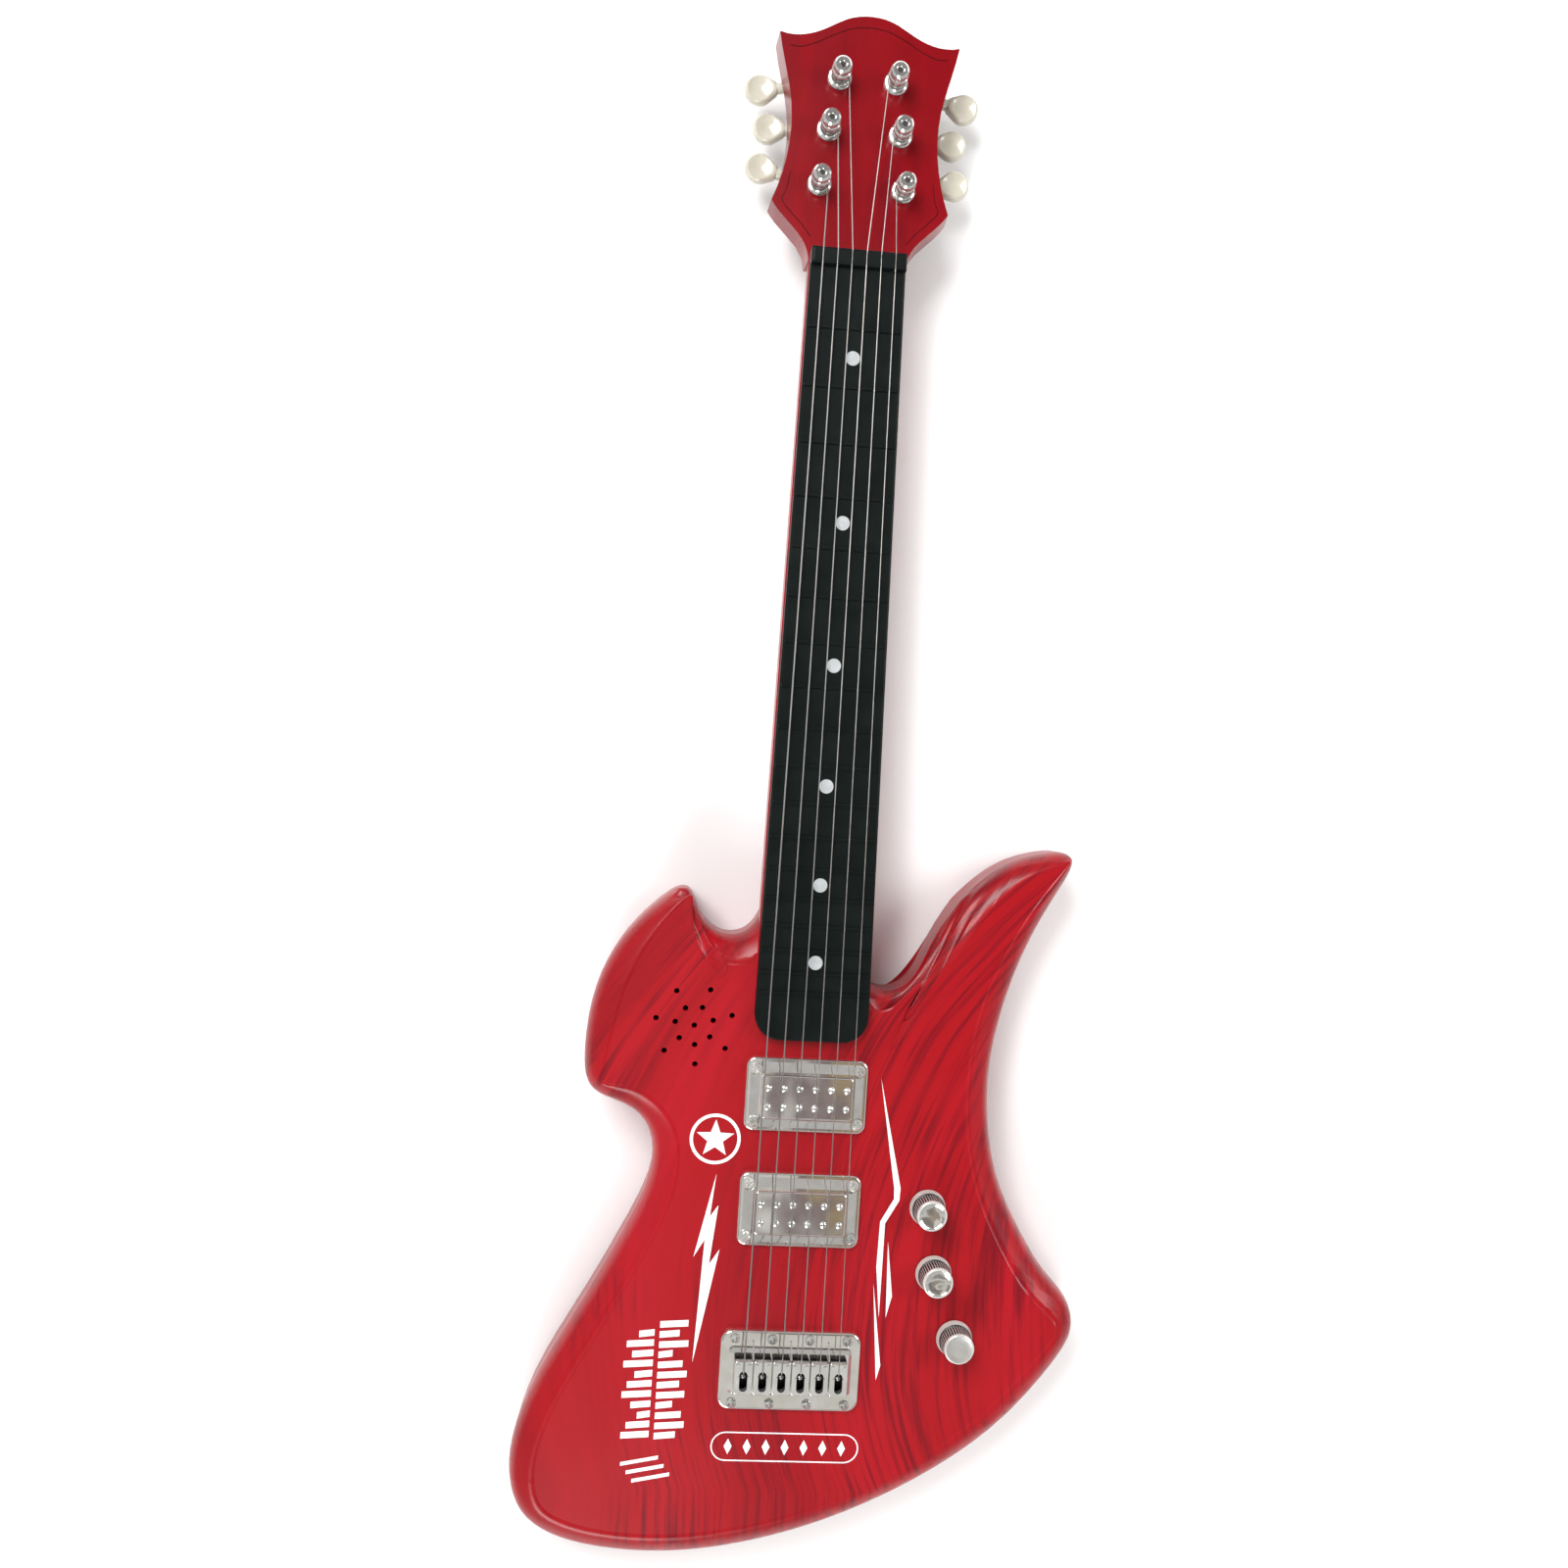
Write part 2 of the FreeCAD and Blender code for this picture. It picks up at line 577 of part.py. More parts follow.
def fretboard():
    wide = board_half(BOARD_END_Y)
    ends = [Vector(-board_half(0), 0, FACE_Z), Vector(board_half(0), 0, FACE_Z),
            Vector(wide, BOARD_END_Y, FACE_Z), Vector(-wide, BOARD_END_Y, FACE_Z)]
    slab = Part.Face(Part.makePolygon(ends + ends[:1])).extrude(Vector(0, 0, BOARD_THICKNESS))
    corners = [e for e in slab.Edges
               if abs(e.tangentAt(e.FirstParameter).z) > 0.99 and e.BoundBox.YMax < BOARD_END_Y + 1]
    slab = slab.makeFillet(BOARD_END_RADIUS, corners)
    top = FACE_Z + BOARD_THICKNESS
    rim = [e for e in slab.Edges if e.BoundBox.ZMin > top - 1e-4 and e.BoundBox.YMin < -1]
    slab = slab.makeChamfer(0.9, rim)
    frets = []
    for number in range(1, FRETS + 1):
        y = fret_y(number)
        half = board_half(y) - 0.9
        frets.append(box(-half, half, y - FRET_WIDTH / 2, y + FRET_WIDTH / 2, top - 0.5, top + FRET_HEIGHT))
    return fused([slab] + frets)


def dot_places():
    return [(0, (fret_y(n) + fret_y(n + 1)) / 2) for n in DOT_SPACES]


def fret_dots():
    top = FACE_Z + BOARD_THICKNESS
    return [rod(x, y, top - 0.6, top + 0.12, DOT_RADIUS) for x, y in dot_places()]


def string_x(number, pitch):
    """Strings count from the treble side."""
    return (3.5 - number) * pitch


def nut():
    half = board_half(0)
    block = box(-half, half, 0, NUT_LENGTH, FACE_Z, NUT_TOP_Z)
    edges = [e for e in block.Edges if e.BoundBox.ZMin > NUT_TOP_Z - 1e-4]
    block = block.makeFillet(1.2, edges)
    slots = []
    for number in range(1, 7):
        saddle, bend = string_corners(number)[1:]
        run = (bend - saddle).normalize()
        radius = STRING_RADII[number - 1] + 0.02
        slots.append(Part.makeCylinder(radius, 20, bend - run * 12, run))
        half = radius + 0.1
        slots.append(box(bend.x - half, bend.x + half, -6, 14, STRING_AT_NUT_Z, NUT_TOP_Z + 1))
        slots.append(box(bend.x - radius - 0.6, bend.x + radius + 0.6, bend.y - 0.4, 14,
                         STRING_AT_NUT_Z - radius - 0.4, NUT_TOP_Z + 1))
    return block.cut(slots)


def string_corners(number):
    """Ball end in the saddle's slot, edge of the saddle, back edge of the nut."""
    radius = STRING_RADII[number - 1]
    saddle_x = string_x(number, SADDLE_PITCH)
    nut_x = string_x(number, NUT_STRING_PITCH)
    return [Vector(saddle_x, -469.6, 45.7), Vector(saddle_x, -467.2, SADDLE_TOP_Z + radius + 0.03),
            Vector(nut_x, NUT_LENGTH - 0.5, STRING_AT_NUT_Z)]


def metal_string(number):
    """One string in three lengths, from its ball end to its laps on the inner side of its post."""
    radius = STRING_RADII[number - 1]
    corners = string_corners(number)
    x, y = tuner_places()[number - 1]
    side = 1 if x > 0 else -1
    lap = POST_BARREL_RADIUS + 0.05 + radius
    post = Vector(x, y, STRING_LAP_Z)
    leave = Vector(corners[2].x, corners[2].y, STRING_LAP_Z)
    reach = post - leave
    swing = side * math.asin(lap / reach.Length)
    heading = Vector(reach.x * math.cos(swing) - reach.y * math.sin(swing),
                     reach.x * math.sin(swing) + reach.y * math.cos(swing), 0).normalize()
    touch = post + Vector(-heading.y, heading.x, 0) * lap * side
    route = corners + [touch - heading * 5, touch]
    edges = rounded_route(route, 2.5)
    ahead = post + heading * lap
    back = post - (touch - post) * math.cos(0.9) - heading * lap * math.sin(0.9)
    edges.append(Part.Arc(touch, ahead, back).toShape())
    held = Part.makeSphere(1.3, corners[0]).fuse(tube_along(edges[:2], radius))
    laps = [Part.makeTorus(lap, radius, post - Vector(0, 0, 2 * radius * k)) for k in (1, 2)]
    return [held, tube_along(edges[2:3], radius), tube_along(edges[3:], radius)] + laps


# ---------------------------------------------------------------- pickups and bridge
def pickup_screw_places():
    return [(sx * PICKUP_SCREW_X, y + sy * PICKUP_SCREW_Y)
            for y in PICKUP_CENTRES_Y for sx in (-1, 1) for sy in (-1, 1)]


def pole_places():
    return [(x * POLE_PITCH_X, y + row * POLE_ROW_Y)
            for y in PICKUP_CENTRES_Y for x in (-2.5, -1.5, -0.5, 0.5, 1.5, 2.5) for row in (-1, 1)]


def rectangle_wire(width, length, z, y):
    x = width / 2
    corners = [Vector(-x, y - length / 2, z), Vector(x, y - length / 2, z), Vector(x, y + length / 2, z),
               Vector(-x, y + length / 2, z)]
    return Part.makePolygon(corners + corners[:1])


def pickup(y):
    """A frame whose four sides slope up to the cover, with a flat seat for each corner screw."""
    ring_top = FACE_Z + PICKUP_RING_HEIGHT
    frame = soften(rounded_block(PICKUP_WIDTH, PICKUP_LENGTH, FACE_Z, ring_top, 4.0, 0, y), 1.0, ring_top)
    foot = rectangle_wire(PICKUP_WIDTH - 3.6, PICKUP_LENGTH - 3.6, ring_top, y)
    crest = rectangle_wire(PICKUP_COVER_WIDTH + 1.6, PICKUP_COVER_LENGTH + 1.6, ring_top + 2.2, y)
    slope = Part.makeLoft([foot, crest], True, True)
    seats = [rod(px, py, ring_top, ring_top + 5, 3.0) for px, py in pickup_screw_places()]
    frame = frame.fuse(slope.cut(seats))
    cover = rounded_block(PICKUP_COVER_WIDTH, PICKUP_COVER_LENGTH, FACE_Z, PICKUP_COVER_TOP_Z, 1.6, 0, y)
    cover = soften(cover, 1.0, PICKUP_COVER_TOP_Z)
    half_x, half_y = PICKUP_COVER_WIDTH / 2 - 1.4, PICKUP_COVER_LENGTH / 2 - 1.4
    inside = box(-half_x, half_x, y - half_y, y + half_y, FACE_Z - 1, PICKUP_COVER_TOP_Z - 1.4)
    holes = [rod(px, py, FACE_Z - 1, ring_top + 1, 1.15) for px, py in pickup_screw_places()]
    holes += [rod(px, py, FACE_Z + 2, PICKUP_COVER_TOP_Z + 1, 1.0) for px, py in pole_places()]
    return frame.fuse(cover).removeSplitter().cut([inside] + holes)


def pickup_screws():
    seat = FACE_Z + PICKUP_RING_HEIGHT
    return [screw(x, y, seat, 2.5, 1.5, 0.97, 6.0) for x, y in pickup_screw_places()]


def pole_screws():
    dome = spin(((0, 0), (1.5, 0), (1.5, 0.25), (1.15, 0.7), (0.6, 0.95), (0, 1.0)))
    stem = rod(0, 0, -2.2, 0.01, 0.95)
    slot = box(-0.16, 0.16, -1.2, 1.2, 0.55, 2)
    pole = dome.fuse(stem).cut(slot)
    return [moved(turned(pole, 25 + 40 * (i % 7)), x, y, PICKUP_COVER_TOP_Z)
            for i, (x, y) in enumerate(pole_places())]


def bridge_screw_places():
    rows = (BRIDGE_CENTRE_Y + BRIDGE_LENGTH / 2 - 3.4, BRIDGE_CENTRE_Y - BRIDGE_LENGTH / 2 + 3.0)
    return [(x, y) for y in rows for x in BRIDGE_SCREW_X]


def bridge_plate():
    top = FACE_Z + BRIDGE_PLATE_HEIGHT
    plate = rounded_block(BRIDGE_WIDTH, BRIDGE_LENGTH, FACE_Z, top, 5.0, 0, BRIDGE_CENTRE_Y)
    plate = soften(plate, 1.1, top)
    step = rounded_block(6 * SADDLE_PITCH + 4.0, SADDLE_LENGTH + 6.0, FACE_Z + 1, top + 2.4, 2.0,
                         0, SADDLE_CENTRE_Y)
    step = step.makeChamfer(1.4, [e for e in step.Edges if e.BoundBox.ZMin > top + 2.4 - 1e-4])
    ribs = []
    back = SADDLE_CENTRE_Y + SADDLE_LENGTH / 2 + 0.3
    for x in (-2 * SADDLE_PITCH, 0, 2 * SADDLE_PITCH):
        corners = [Vector(x - 0.3, back, top - 0.5), Vector(x - 0.3, back, SADDLE_TOP_Z - 1.6),
                   Vector(x - 0.3, back + 5.5, top + 0.6), Vector(x - 0.3, back + 5.5, top - 0.5)]
        ribs.append(Part.Face(Part.makePolygon(corners + corners[:1])).extrude(Vector(0.6, 0, 0)))
    holes = [rod(x, y, FACE_Z - 1, top + 1, 1.15) for x, y in bridge_screw_places()]
    return plate.fuse([step] + ribs).removeSplitter().cut(holes)


def slot_shape(x, y0, y1, z0, z1, half):
    """A slot along y with round ends at y0 and y1."""
    ends = [rod(x, y0, z0, z1, half), rod(x, y1, z0, z1, half)]
    return fused(ends + [box(x - half, x + half, y0, y1, z0, z1)])


def bridge_saddles():
    """Each saddle has a slot with a raised rim, open towards the neck, and two height screws."""
    base = FACE_Z + BRIDGE_PLATE_HEIGHT + 2.4
    low, high = SADDLE_CENTRE_Y - 3.9, SADDLE_CENTRE_Y + 1.1
    pieces = []
    for number in range(1, 7):
        x = string_x(number, SADDLE_PITCH)
        block = rounded_block(SADDLE_PITCH - 0.5, SADDLE_LENGTH, base, SADDLE_TOP_Z, 0.8,
                              x, SADDLE_CENTRE_Y)
        block = soften(block, 0.4, SADDLE_TOP_Z)
        slot = slot_shape(x, low, high, base + 1.2, 60, 1.7)
        rim = slot_shape(x, low, high, SADDLE_TOP_Z - 0.5, SADDLE_TOP_Z + 0.5, 2.3)
        rim = rim.cut([slot, box(x - 3, x + 3, high - 0.4, high + 5, 40, 60)])
        grubs = [rod(x + s * 2.5, high + 4.1, SADDLE_TOP_Z - 1.0, SADDLE_TOP_Z + 0.45, 0.8) for s in (-1, 1)]
        pieces.append(fused([block.cut(slot), rim] + grubs))
    return pieces


def bridge_screws():
    seat = FACE_Z + BRIDGE_PLATE_HEIGHT
    return [screw(x, y, seat, 2.1, 1.4, 0.97, 6.4) for x, y in bridge_screw_places()]


# ---------------------------------------------------------------- tuning machines
def gear(button_out):
    root = GEAR_TIP_RADIUS - 1.25
    wheel = rod(0, 0, WORM_AXIS_Z - GEAR_THICKNESS / 2, WORM_AXIS_Z + GEAR_THICKNESS / 2, root)
    teeth = []
    for i in range(GEAR_TEETH):
        angle = 90 + i * 360.0 / GEAR_TEETH
        corners = [Vector(root - 0.4, -0.62, 0), Vector(GEAR_TIP_RADIUS, -0.26, 0),
                   Vector(GEAR_TIP_RADIUS, 0.26, 0), Vector(root - 0.4, 0.62, 0)]
        tooth = Part.Face(Part.makePolygon(corners + corners[:1])).extrude(Vector(0, 0, GEAR_THICKNESS))
        teeth.append(moved(turned(tooth, angle), z=WORM_AXIS_Z - GEAR_THICKNESS / 2))
    bore = rod(0, 0, 0, 30, POST_FOOT_RADIUS)
    return fused([wheel] + teeth).cut(bore)


def worm_shaft(button_out):
    """Built along z, then laid along x: a single-start thread in mesh with the gear."""
    pitch = math.pi * GEAR_MODULE
    turns = 5
    helix = Part.makeHelix(pitch, pitch * turns, WORM_CORE_RADIUS)
    inner = WORM_CORE_RADIUS - 0.25
    corners = [Vector(inner, 0, -0.55), Vector(WORM_TIP_RADIUS, 0, -0.24), Vector(WORM_TIP_RADIUS, 0, 0.24),
               Vector(inner, 0, 0.55)]
    profile = Part.makePolygon(corners + corners[:1])
    thread = Part.Wire(helix).makePipeShell([profile], True, True)
    thread = moved(thread, z=-pitch * turns / 2)
    core = rod(0, 0, -6.3, 6.3, WORM_CORE_RADIUS)
    ends = rod(0, 0, -8.4, button_out - 6.5, WORM_END_RADIUS)
    shaft = core.fuse(ends).fuse(thread)
    lay = Matrix(0, 0, 1, 0, -1, 0, 0, 0, 0, -1, 0, 0, 0, 0, 0, 1)
    return moved(shaft.transformed(lay, copy=True), 0, MESH_CENTRES, WORM_AXIS_Z)


def pear_face():
    """The button's outline: a wide far end and a narrower end at the stalk, joined by tangents."""
    far, near = 6.4, 4.2
    far_x, near_x = 0.7, -3.6
    tilt = math.asin((far - near) / (far_x - near_x))
    sx, sy = -math.sin(tilt), math.cos(tilt)
    top_far = Vector(far_x + far * sx, far * sy, 0)
    top_near = Vector(near_x + near * sx, near * sy, 0)
    low_far = Vector(top_far.x, -top_far.y, 0)
    low_near = Vector(top_near.x, -top_near.y, 0)
    edges = [Part.Arc(low_far, Vector(far_x + far, 0, 0), top_far).toShape(),
             Part.LineSegment(top_far, top_near).toShape(),
             Part.Arc(top_near, Vector(near_x - near, 0, 0), low_near).toShape(),
             Part.LineSegment(low_near, low_far).toShape()]
    return Part.Face(Part.Wire(edges))


def tuner_button(button_out):
    disc = moved(pear_face(), z=-2.7).extrude(Vector(0, 0, 5.4))
    disc = disc.makeFillet(2.1, [e for e in disc.Edges if abs(abs(e.CenterOfMass.z) - 2.7) < 1e-4])
    dish = [Part.makeSphere(16, Vector(0.6, 0, s * (16 + 1.7))) for s in (-1, 1)]
    hub = Part.makeCylinder(2.4, 4.5, Vector(-9.5, 0, 0), Vector(1, 0, 0))
    bore = Part.makeCylinder(WORM_END_RADIUS, 3.5, Vector(-10, 0, 0), Vector(1, 0, 0))
    return moved(disc.cut(dish).fuse(hub).cut(bore), button_out, MESH_CENTRES, WORM_AXIS_Z)


def string_post(button_out):
    """Foot for the gear, barrel for the string, then two rings and a cap with a round recess."""
    return spin(((0, 13.6), (POST_FOOT_RADIUS, 13.6), (POST_FOOT_RADIUS, 18.0), (POST_RADIUS, 18.0),
                 (POST_RADIUS, 38.2), (POST_BARREL_RADIUS, 38.5), (POST_BARREL_RADIUS, 42.0),
                 (4.0, 42.4), (4.25, 43.2), (4.0, 44.2), (3.4, 44.6), (3.4, 45.2), (3.9, 45.6),
                 (4.1, 46.6), (3.7, 48.2), (2.9, POST_TOP_Z), (1.8, POST_TOP_Z),
                 (1.5, POST_TOP_Z - 1.0), (0, POST_TOP_Z - 1.0)))


def post_bush(button_out):
    return spin(((POST_RADIUS + RUNNING_GAP, 29), (3.5, 29), (3.5, HEAD_FACE_Z), (5.15, HEAD_FACE_Z),
                 (5.15, 36.7), (4.7, 37.3), (4.1, 37.5), (3.7, 37.9), (POST_RADIUS + RUNNING_GAP, 37.9)))


def tuner_plate_shape(button_out):
    """Stamped plate on the head's back with two folded ears that carry the worm shaft."""
    top = HEAD_BACK_Z
    plate = box(-8.6, 8.6, -7.2, MESH_CENTRES + 3.4, top - 1.2, top)
    ears = [box(x, x + 1.1, MESH_CENTRES - 3.4, MESH_CENTRES + 3.4, 12.6, top - 0.6) for x in (-7.5, 6.4)]
    holes = [rod(0, 0, 0, 30, 2.7)]
    holes += [rod(x, y, 0, 30, 1.05) for x, y in TUNER_SCREW_SPOTS]
    holes.append(Part.makeCylinder(WORM_END_RADIUS + RUNNING_GAP, 40,
                                   Vector(-20, MESH_CENTRES, WORM_AXIS_Z), Vector(1, 0, 0)))
    return fused([plate] + ears).cut(holes)


def set_tuner(shape, index):
    """Carries a piece from the machine's own frame to treble machine index."""
    return moved(turned(shape, TUNER_FAN[index]), *TUNER_POSTS[index])


def tuner_screw_places():
    places = []
    for index in range(3):
        for x, y in TUNER_SCREW_SPOTS:
            spot = set_tuner(Part.Vertex(Vector(x, y, 0)), index).Point
            places += [(spot.x, spot.y), (-spot.x, spot.y)]
    return places


def tuner_screws():
    return [screw(x, y, HEAD_BACK_Z - 1.2, 1.9, 1.1, 0.86, 5.0, down=False)
            for x, y in tuner_screw_places()]


def for_all_tuners(make):
    """One piece for each machine, strings 1 to 6.  Each is made from its button's distance."""
    treble = [set_tuner(make(BUTTON_OUT[index]), index) for index in range(3)]
    return treble + [mirrored(piece) for piece in reversed(treble)]


# ---------------------------------------------------------------- knobs, electronics and leads
def knob(x, y):
    base = FACE_Z + 0.4
    top = FACE_Z + 0.4 + KNOB_HEIGHT
    body = spin(((0, base), (KNOB_SKIRT_RADIUS, base), (KNOB_SKIRT_RADIUS, base + 1.0),
                 (KNOB_SKIRT_RADIUS - 0.5, base + 1.9), (KNOB_TOP_RADIUS + 0.7, base + 3.0),
                 (KNOB_TOP_RADIUS + 0.35, top - 1.2), (KNOB_TOP_RADIUS, top - 0.3), (KNOB_TOP_RADIUS - 0.3, top),
                 (KNOB_TOP_RADIUS - 0.9, top), (KNOB_TOP_RADIUS - 1.2, top - 0.35), (0, top - 0.55)))
    groove = rod(KNOB_TOP_RADIUS + 0.75, 0, base + 3.4, top - 1.3, 0.28)
    grooves = [turned(groove, i * 360.0 / KNOB_FLUTES) for i in range(KNOB_FLUTES)]
    body = body.cut(grooves)
    stem = rod(0, 0, 30.6, base + 0.5, KNOB_STEM_RADIUS)
    return moved(body.fuse(stem), x, y)


def potentiometers():
    pieces = []
    for x, y in KNOB_CENTRES:
        can = rounded_block(14.0, 14.0, 30.0, FACE_Z - WALL, 2.0, x, y)
        pieces.append(can.cut(rod(x, y, 30.4, 40, KNOB_STEM_RADIUS + RUNNING_GAP)))
    return pieces


def circuit_board():
    """A board under the three potentiometers, with the sound chip and its large parts soldered on."""
    outline = ((44, -385), (66, -385), (86, -452), (86, -466), (58, -466), (44, -430))
    corners = [Vector(x, y, 28.4) for x, y in outline]
    board = Part.Face(Part.makePolygon(corners + corners[:1])).extrude(Vector(0, 0, 1.6))
    chip = box(58, 70, -412, -404, 26.6, 28.4)
    cans = [rod(52, -415, 19.5, 28.4, 3.2), rod(78, -437, 19.5, 28.4, 3.2)]
    plug = box(60, 68, -446, -440, 22.4, 28.4)
    return fused([board, chip, plug] + cans)


def speaker_frame():
    x, y = GRILLE_CENTRE
    top = FACE_Z - WALL
    basket = spin(((23.0, top), (SPEAKER_RADIUS, top), (SPEAKER_RADIUS, top - 1.4), (22.0, top - 2.0),
                   (15.0, 24.0), (14.0, 22.0), (14.0, 14.5), (0, 14.5), (0, 21.0), (10.0, 21.0), (10.0, 24.5),
                   (13.6, 24.8), (21.2, top - 1.0), (23.0, top - 0.6)))
    return moved(basket, x, y)


def speaker_cone():
    """Dust cap, cone and the surround, whose rim lies on the basket's ledge."""
    x, y = GRILLE_CENTRE
    top = FACE_Z - WALL
    cone = spin(((0, 27.2), (4.5, 28.4), (6.0, 26.2), (17.5, top - 3.4), (19.0, top - 1.6), (20.6, top - 0.4),
                 (22.9, top - 0.15), (22.9, top - 0.57), (21.4, top - 0.9), (20.6, top - 1.1), (19.3, top - 2.5),
                 (17.8, top - 4.2), (6.4, 25.2), (0, 26.4)))
    return moved(cone, x, y)


def battery_lead():
    route = ((34.9, -425, 14), (40.5, -425, 14), (50, -430, 15), (64, -443, 15), (64, -443, 22.4))
    return bent_tube(route, 1.1, 3.0)


def speaker_lead():
    route = ((-35.5, -322.8, 17), (-24, -322.8, 17), (10, -352, 17), (44, -398, 17), (61.5, -424, 17),
             (61.5, -431, 24.5), (61.5, -440, 24.5))
    return bent_tube(route, 1.1, 3.0)


# ---------------------------------------------------------------- build and export
def export(name, shapes):
    solids = shapes if isinstance(shapes, list) else [shapes]
    found = [s for shape in solids for s in shape.Solids]
    placed = Part.makeCompound([s.translated(-ROW_ORIGIN) for s in found])
    bad = sum(1 for s in placed.Solids if not s.isValid())
    placed.exportStep("parts/%s.step" % name)
    if bad or not found:
        print("INVALID", name, bad, "of", len(found))


def shells():
    body_front, body_back = body_lump(OUTER_FRAME, 0.0, FACE_Z, 0.0)
    hollow_front, hollow_back = body_lump(HOLLOW_FRAME, WALL, FACE_Z - WALL, WALL)
    neck = neck_lump(0.0, HEEL_Y + 4, NECK_TOP_END_Y)
    neck_hollow = neck_lump(WALL, HEEL_Y + 1, NECK_TOP_END_Y - 3)
    lumps = (body_front, body_back, neck, head_lump())
    hollows = (hollow_front, hollow_back, neck_hollow, head_hollow())
    return front_shell(lumps, hollows), back_shell(lumps, hollows)


def build():
    os.makedirs("parts", exist_ok=True)
    front, back = shells()
    export("front_shell", front)
    export("back_shell", back)
    export("fretboard", fretboard().cut(fret_dots()))
    export("fret_dots", fret_dots())
    export("nut", nut())
    export("neck_pickup", pickup(PICKUP_CENTRES_Y[0]))
    export("bridge_pickup", pickup(PICKUP_CENTRES_Y[1]))
    export("pole_screws", pole_screws())
    export("pickup_screws", pickup_screws())
    export("bridge_plate", bridge_plate())
    export("bridge_saddles", bridge_saddles())
    export("bridge_screws", bridge_screws())
    export("post_bushes", for_all_tuners(post_bush))
    export("tuner_plates", for_all_tuners(tuner_plate_shape))
    export("tuner_screws", tuner_screws())
    export("potentiometers", potentiometers())
    export("circuit_board", circuit_board())
    export("speaker_frame", speaker_frame())
    export("speaker_cone", speaker_cone())
    export("battery_door", battery_door())
    export("door_screw", door_screw())
    export("batteries", batteries())
    export("battery_contacts", battery_contacts())
    export("case_screws", case_screws())
    export("battery_lead", battery_lead())
    export("speaker_lead", speaker_lead())
    machine = {"tuner_button": tuner_button, "worm_shaft": worm_shaft, "string_post": string_post,
               "post_gear": gear}
    for family, make in machine.items():
        for number, piece in enumerate(for_all_tuners(make), 1):
            export("%s_%d" % (family, number), piece)
    for number in range(1, 7):
        export("string_%d" % number, metal_string(number))
    for name, centre in zip(("upper_knob", "middle_knob", "lower_knob"), KNOB_CENTRES):
        export(name, knob(*centre))


build()
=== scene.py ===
import math

import bpy
from mathutils import Matrix, Vector


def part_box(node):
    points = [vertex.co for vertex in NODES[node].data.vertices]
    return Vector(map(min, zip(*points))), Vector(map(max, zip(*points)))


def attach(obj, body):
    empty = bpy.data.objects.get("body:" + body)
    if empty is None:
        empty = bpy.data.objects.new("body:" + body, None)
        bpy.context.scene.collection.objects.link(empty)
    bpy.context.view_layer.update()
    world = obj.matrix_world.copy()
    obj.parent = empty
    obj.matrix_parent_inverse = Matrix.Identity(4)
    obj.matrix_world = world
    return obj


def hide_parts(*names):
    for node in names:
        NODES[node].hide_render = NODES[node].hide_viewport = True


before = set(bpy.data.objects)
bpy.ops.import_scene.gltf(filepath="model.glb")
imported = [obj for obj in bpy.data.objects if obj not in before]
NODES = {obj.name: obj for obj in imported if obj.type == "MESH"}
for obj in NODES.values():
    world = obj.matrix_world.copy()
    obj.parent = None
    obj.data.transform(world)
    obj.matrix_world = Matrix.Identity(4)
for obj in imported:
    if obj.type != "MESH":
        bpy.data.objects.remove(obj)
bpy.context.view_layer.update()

MM = 0.001

# Sizes below are in millimetres in the neck's frame: x from the neck's centre line, y up from the nut's
# playing edge, z above the back.  place() turns them into the row frame in metres.
NUT_LOW, NUT_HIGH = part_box("nut")
NECK_X = (NUT_LOW.x + NUT_HIGH.x) / 2
NUT_Y = NUT_LOW.y
FACE_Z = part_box("fretboard")[0].z / MM
HEAD_Z = 36.0


def place(x, y, z):
    return Vector((NECK_X + x * MM, NUT_Y + y * MM, z * MM))


# ---------------------------------------------------------------- materials
def new_material(name):
    material = bpy.data.materials.new(name)
    material.use_nodes = True
    tree = material.node_tree
    return material, tree, tree.nodes["Principled BSDF"]


def node(tree, kind, **settings):
    made = tree.nodes.new(kind)
    for key, value in settings.items():
        if key in made.inputs:
            made.inputs[key].default_value = value
        else:
            setattr(made, key, value)
    return made


def object_coords(tree, scale=(1, 1, 1), turn=(0, 0, 0)):
    coords = node(tree, "ShaderNodeTexCoord")
    mapping = node(tree, "ShaderNodeMapping")
    mapping.inputs["Scale"].default_value = scale
    mapping.inputs["Rotation"].default_value = turn
    tree.links.new(coords.outputs["Object"], mapping.inputs["Vector"])
    return mapping.outputs["Vector"]


def noise(tree, vector, scale, detail=3.0, rough=0.5, distortion=0.0):
    made = node(tree, "ShaderNodeTexNoise")
    made.inputs["Scale"].default_value = scale
    made.inputs["Detail"].default_value = detail
    made.inputs["Roughness"].default_value = rough
    made.inputs["Distortion"].default_value = distortion
    tree.links.new(vector, made.inputs["Vector"])
    return made.outputs["Fac"]


def ramp(tree, value, stops):
    made = node(tree, "ShaderNodeValToRGB")
    elements = made.color_ramp.elements
    while len(elements) < len(stops):
        elements.new(0.5)
    for element, (position, colour) in zip(elements, stops):
        element.position = position
        element.color = (*colour, 1.0)
    tree.links.new(value, made.inputs["Fac"])
    return made.outputs["Color"]


def spread(tree, value, low, high):
    made = node(tree, "ShaderNodeMapRange")
    made.inputs["To Min"].default_value = low
    made.inputs["To Max"].default_value = high
    tree.links.new(value, made.inputs["Value"])
    return made.outputs["Result"]


def math_node(tree, operation, first, second):
    made = node(tree, "ShaderNodeMath", operation=operation)
    for i, value in enumerate((first, second)):
        if isinstance(value, (int, float)):
            made.inputs[i].default_value = value
        else:
            tree.links.new(value, made.inputs[i])
    return made.outputs["Value"]


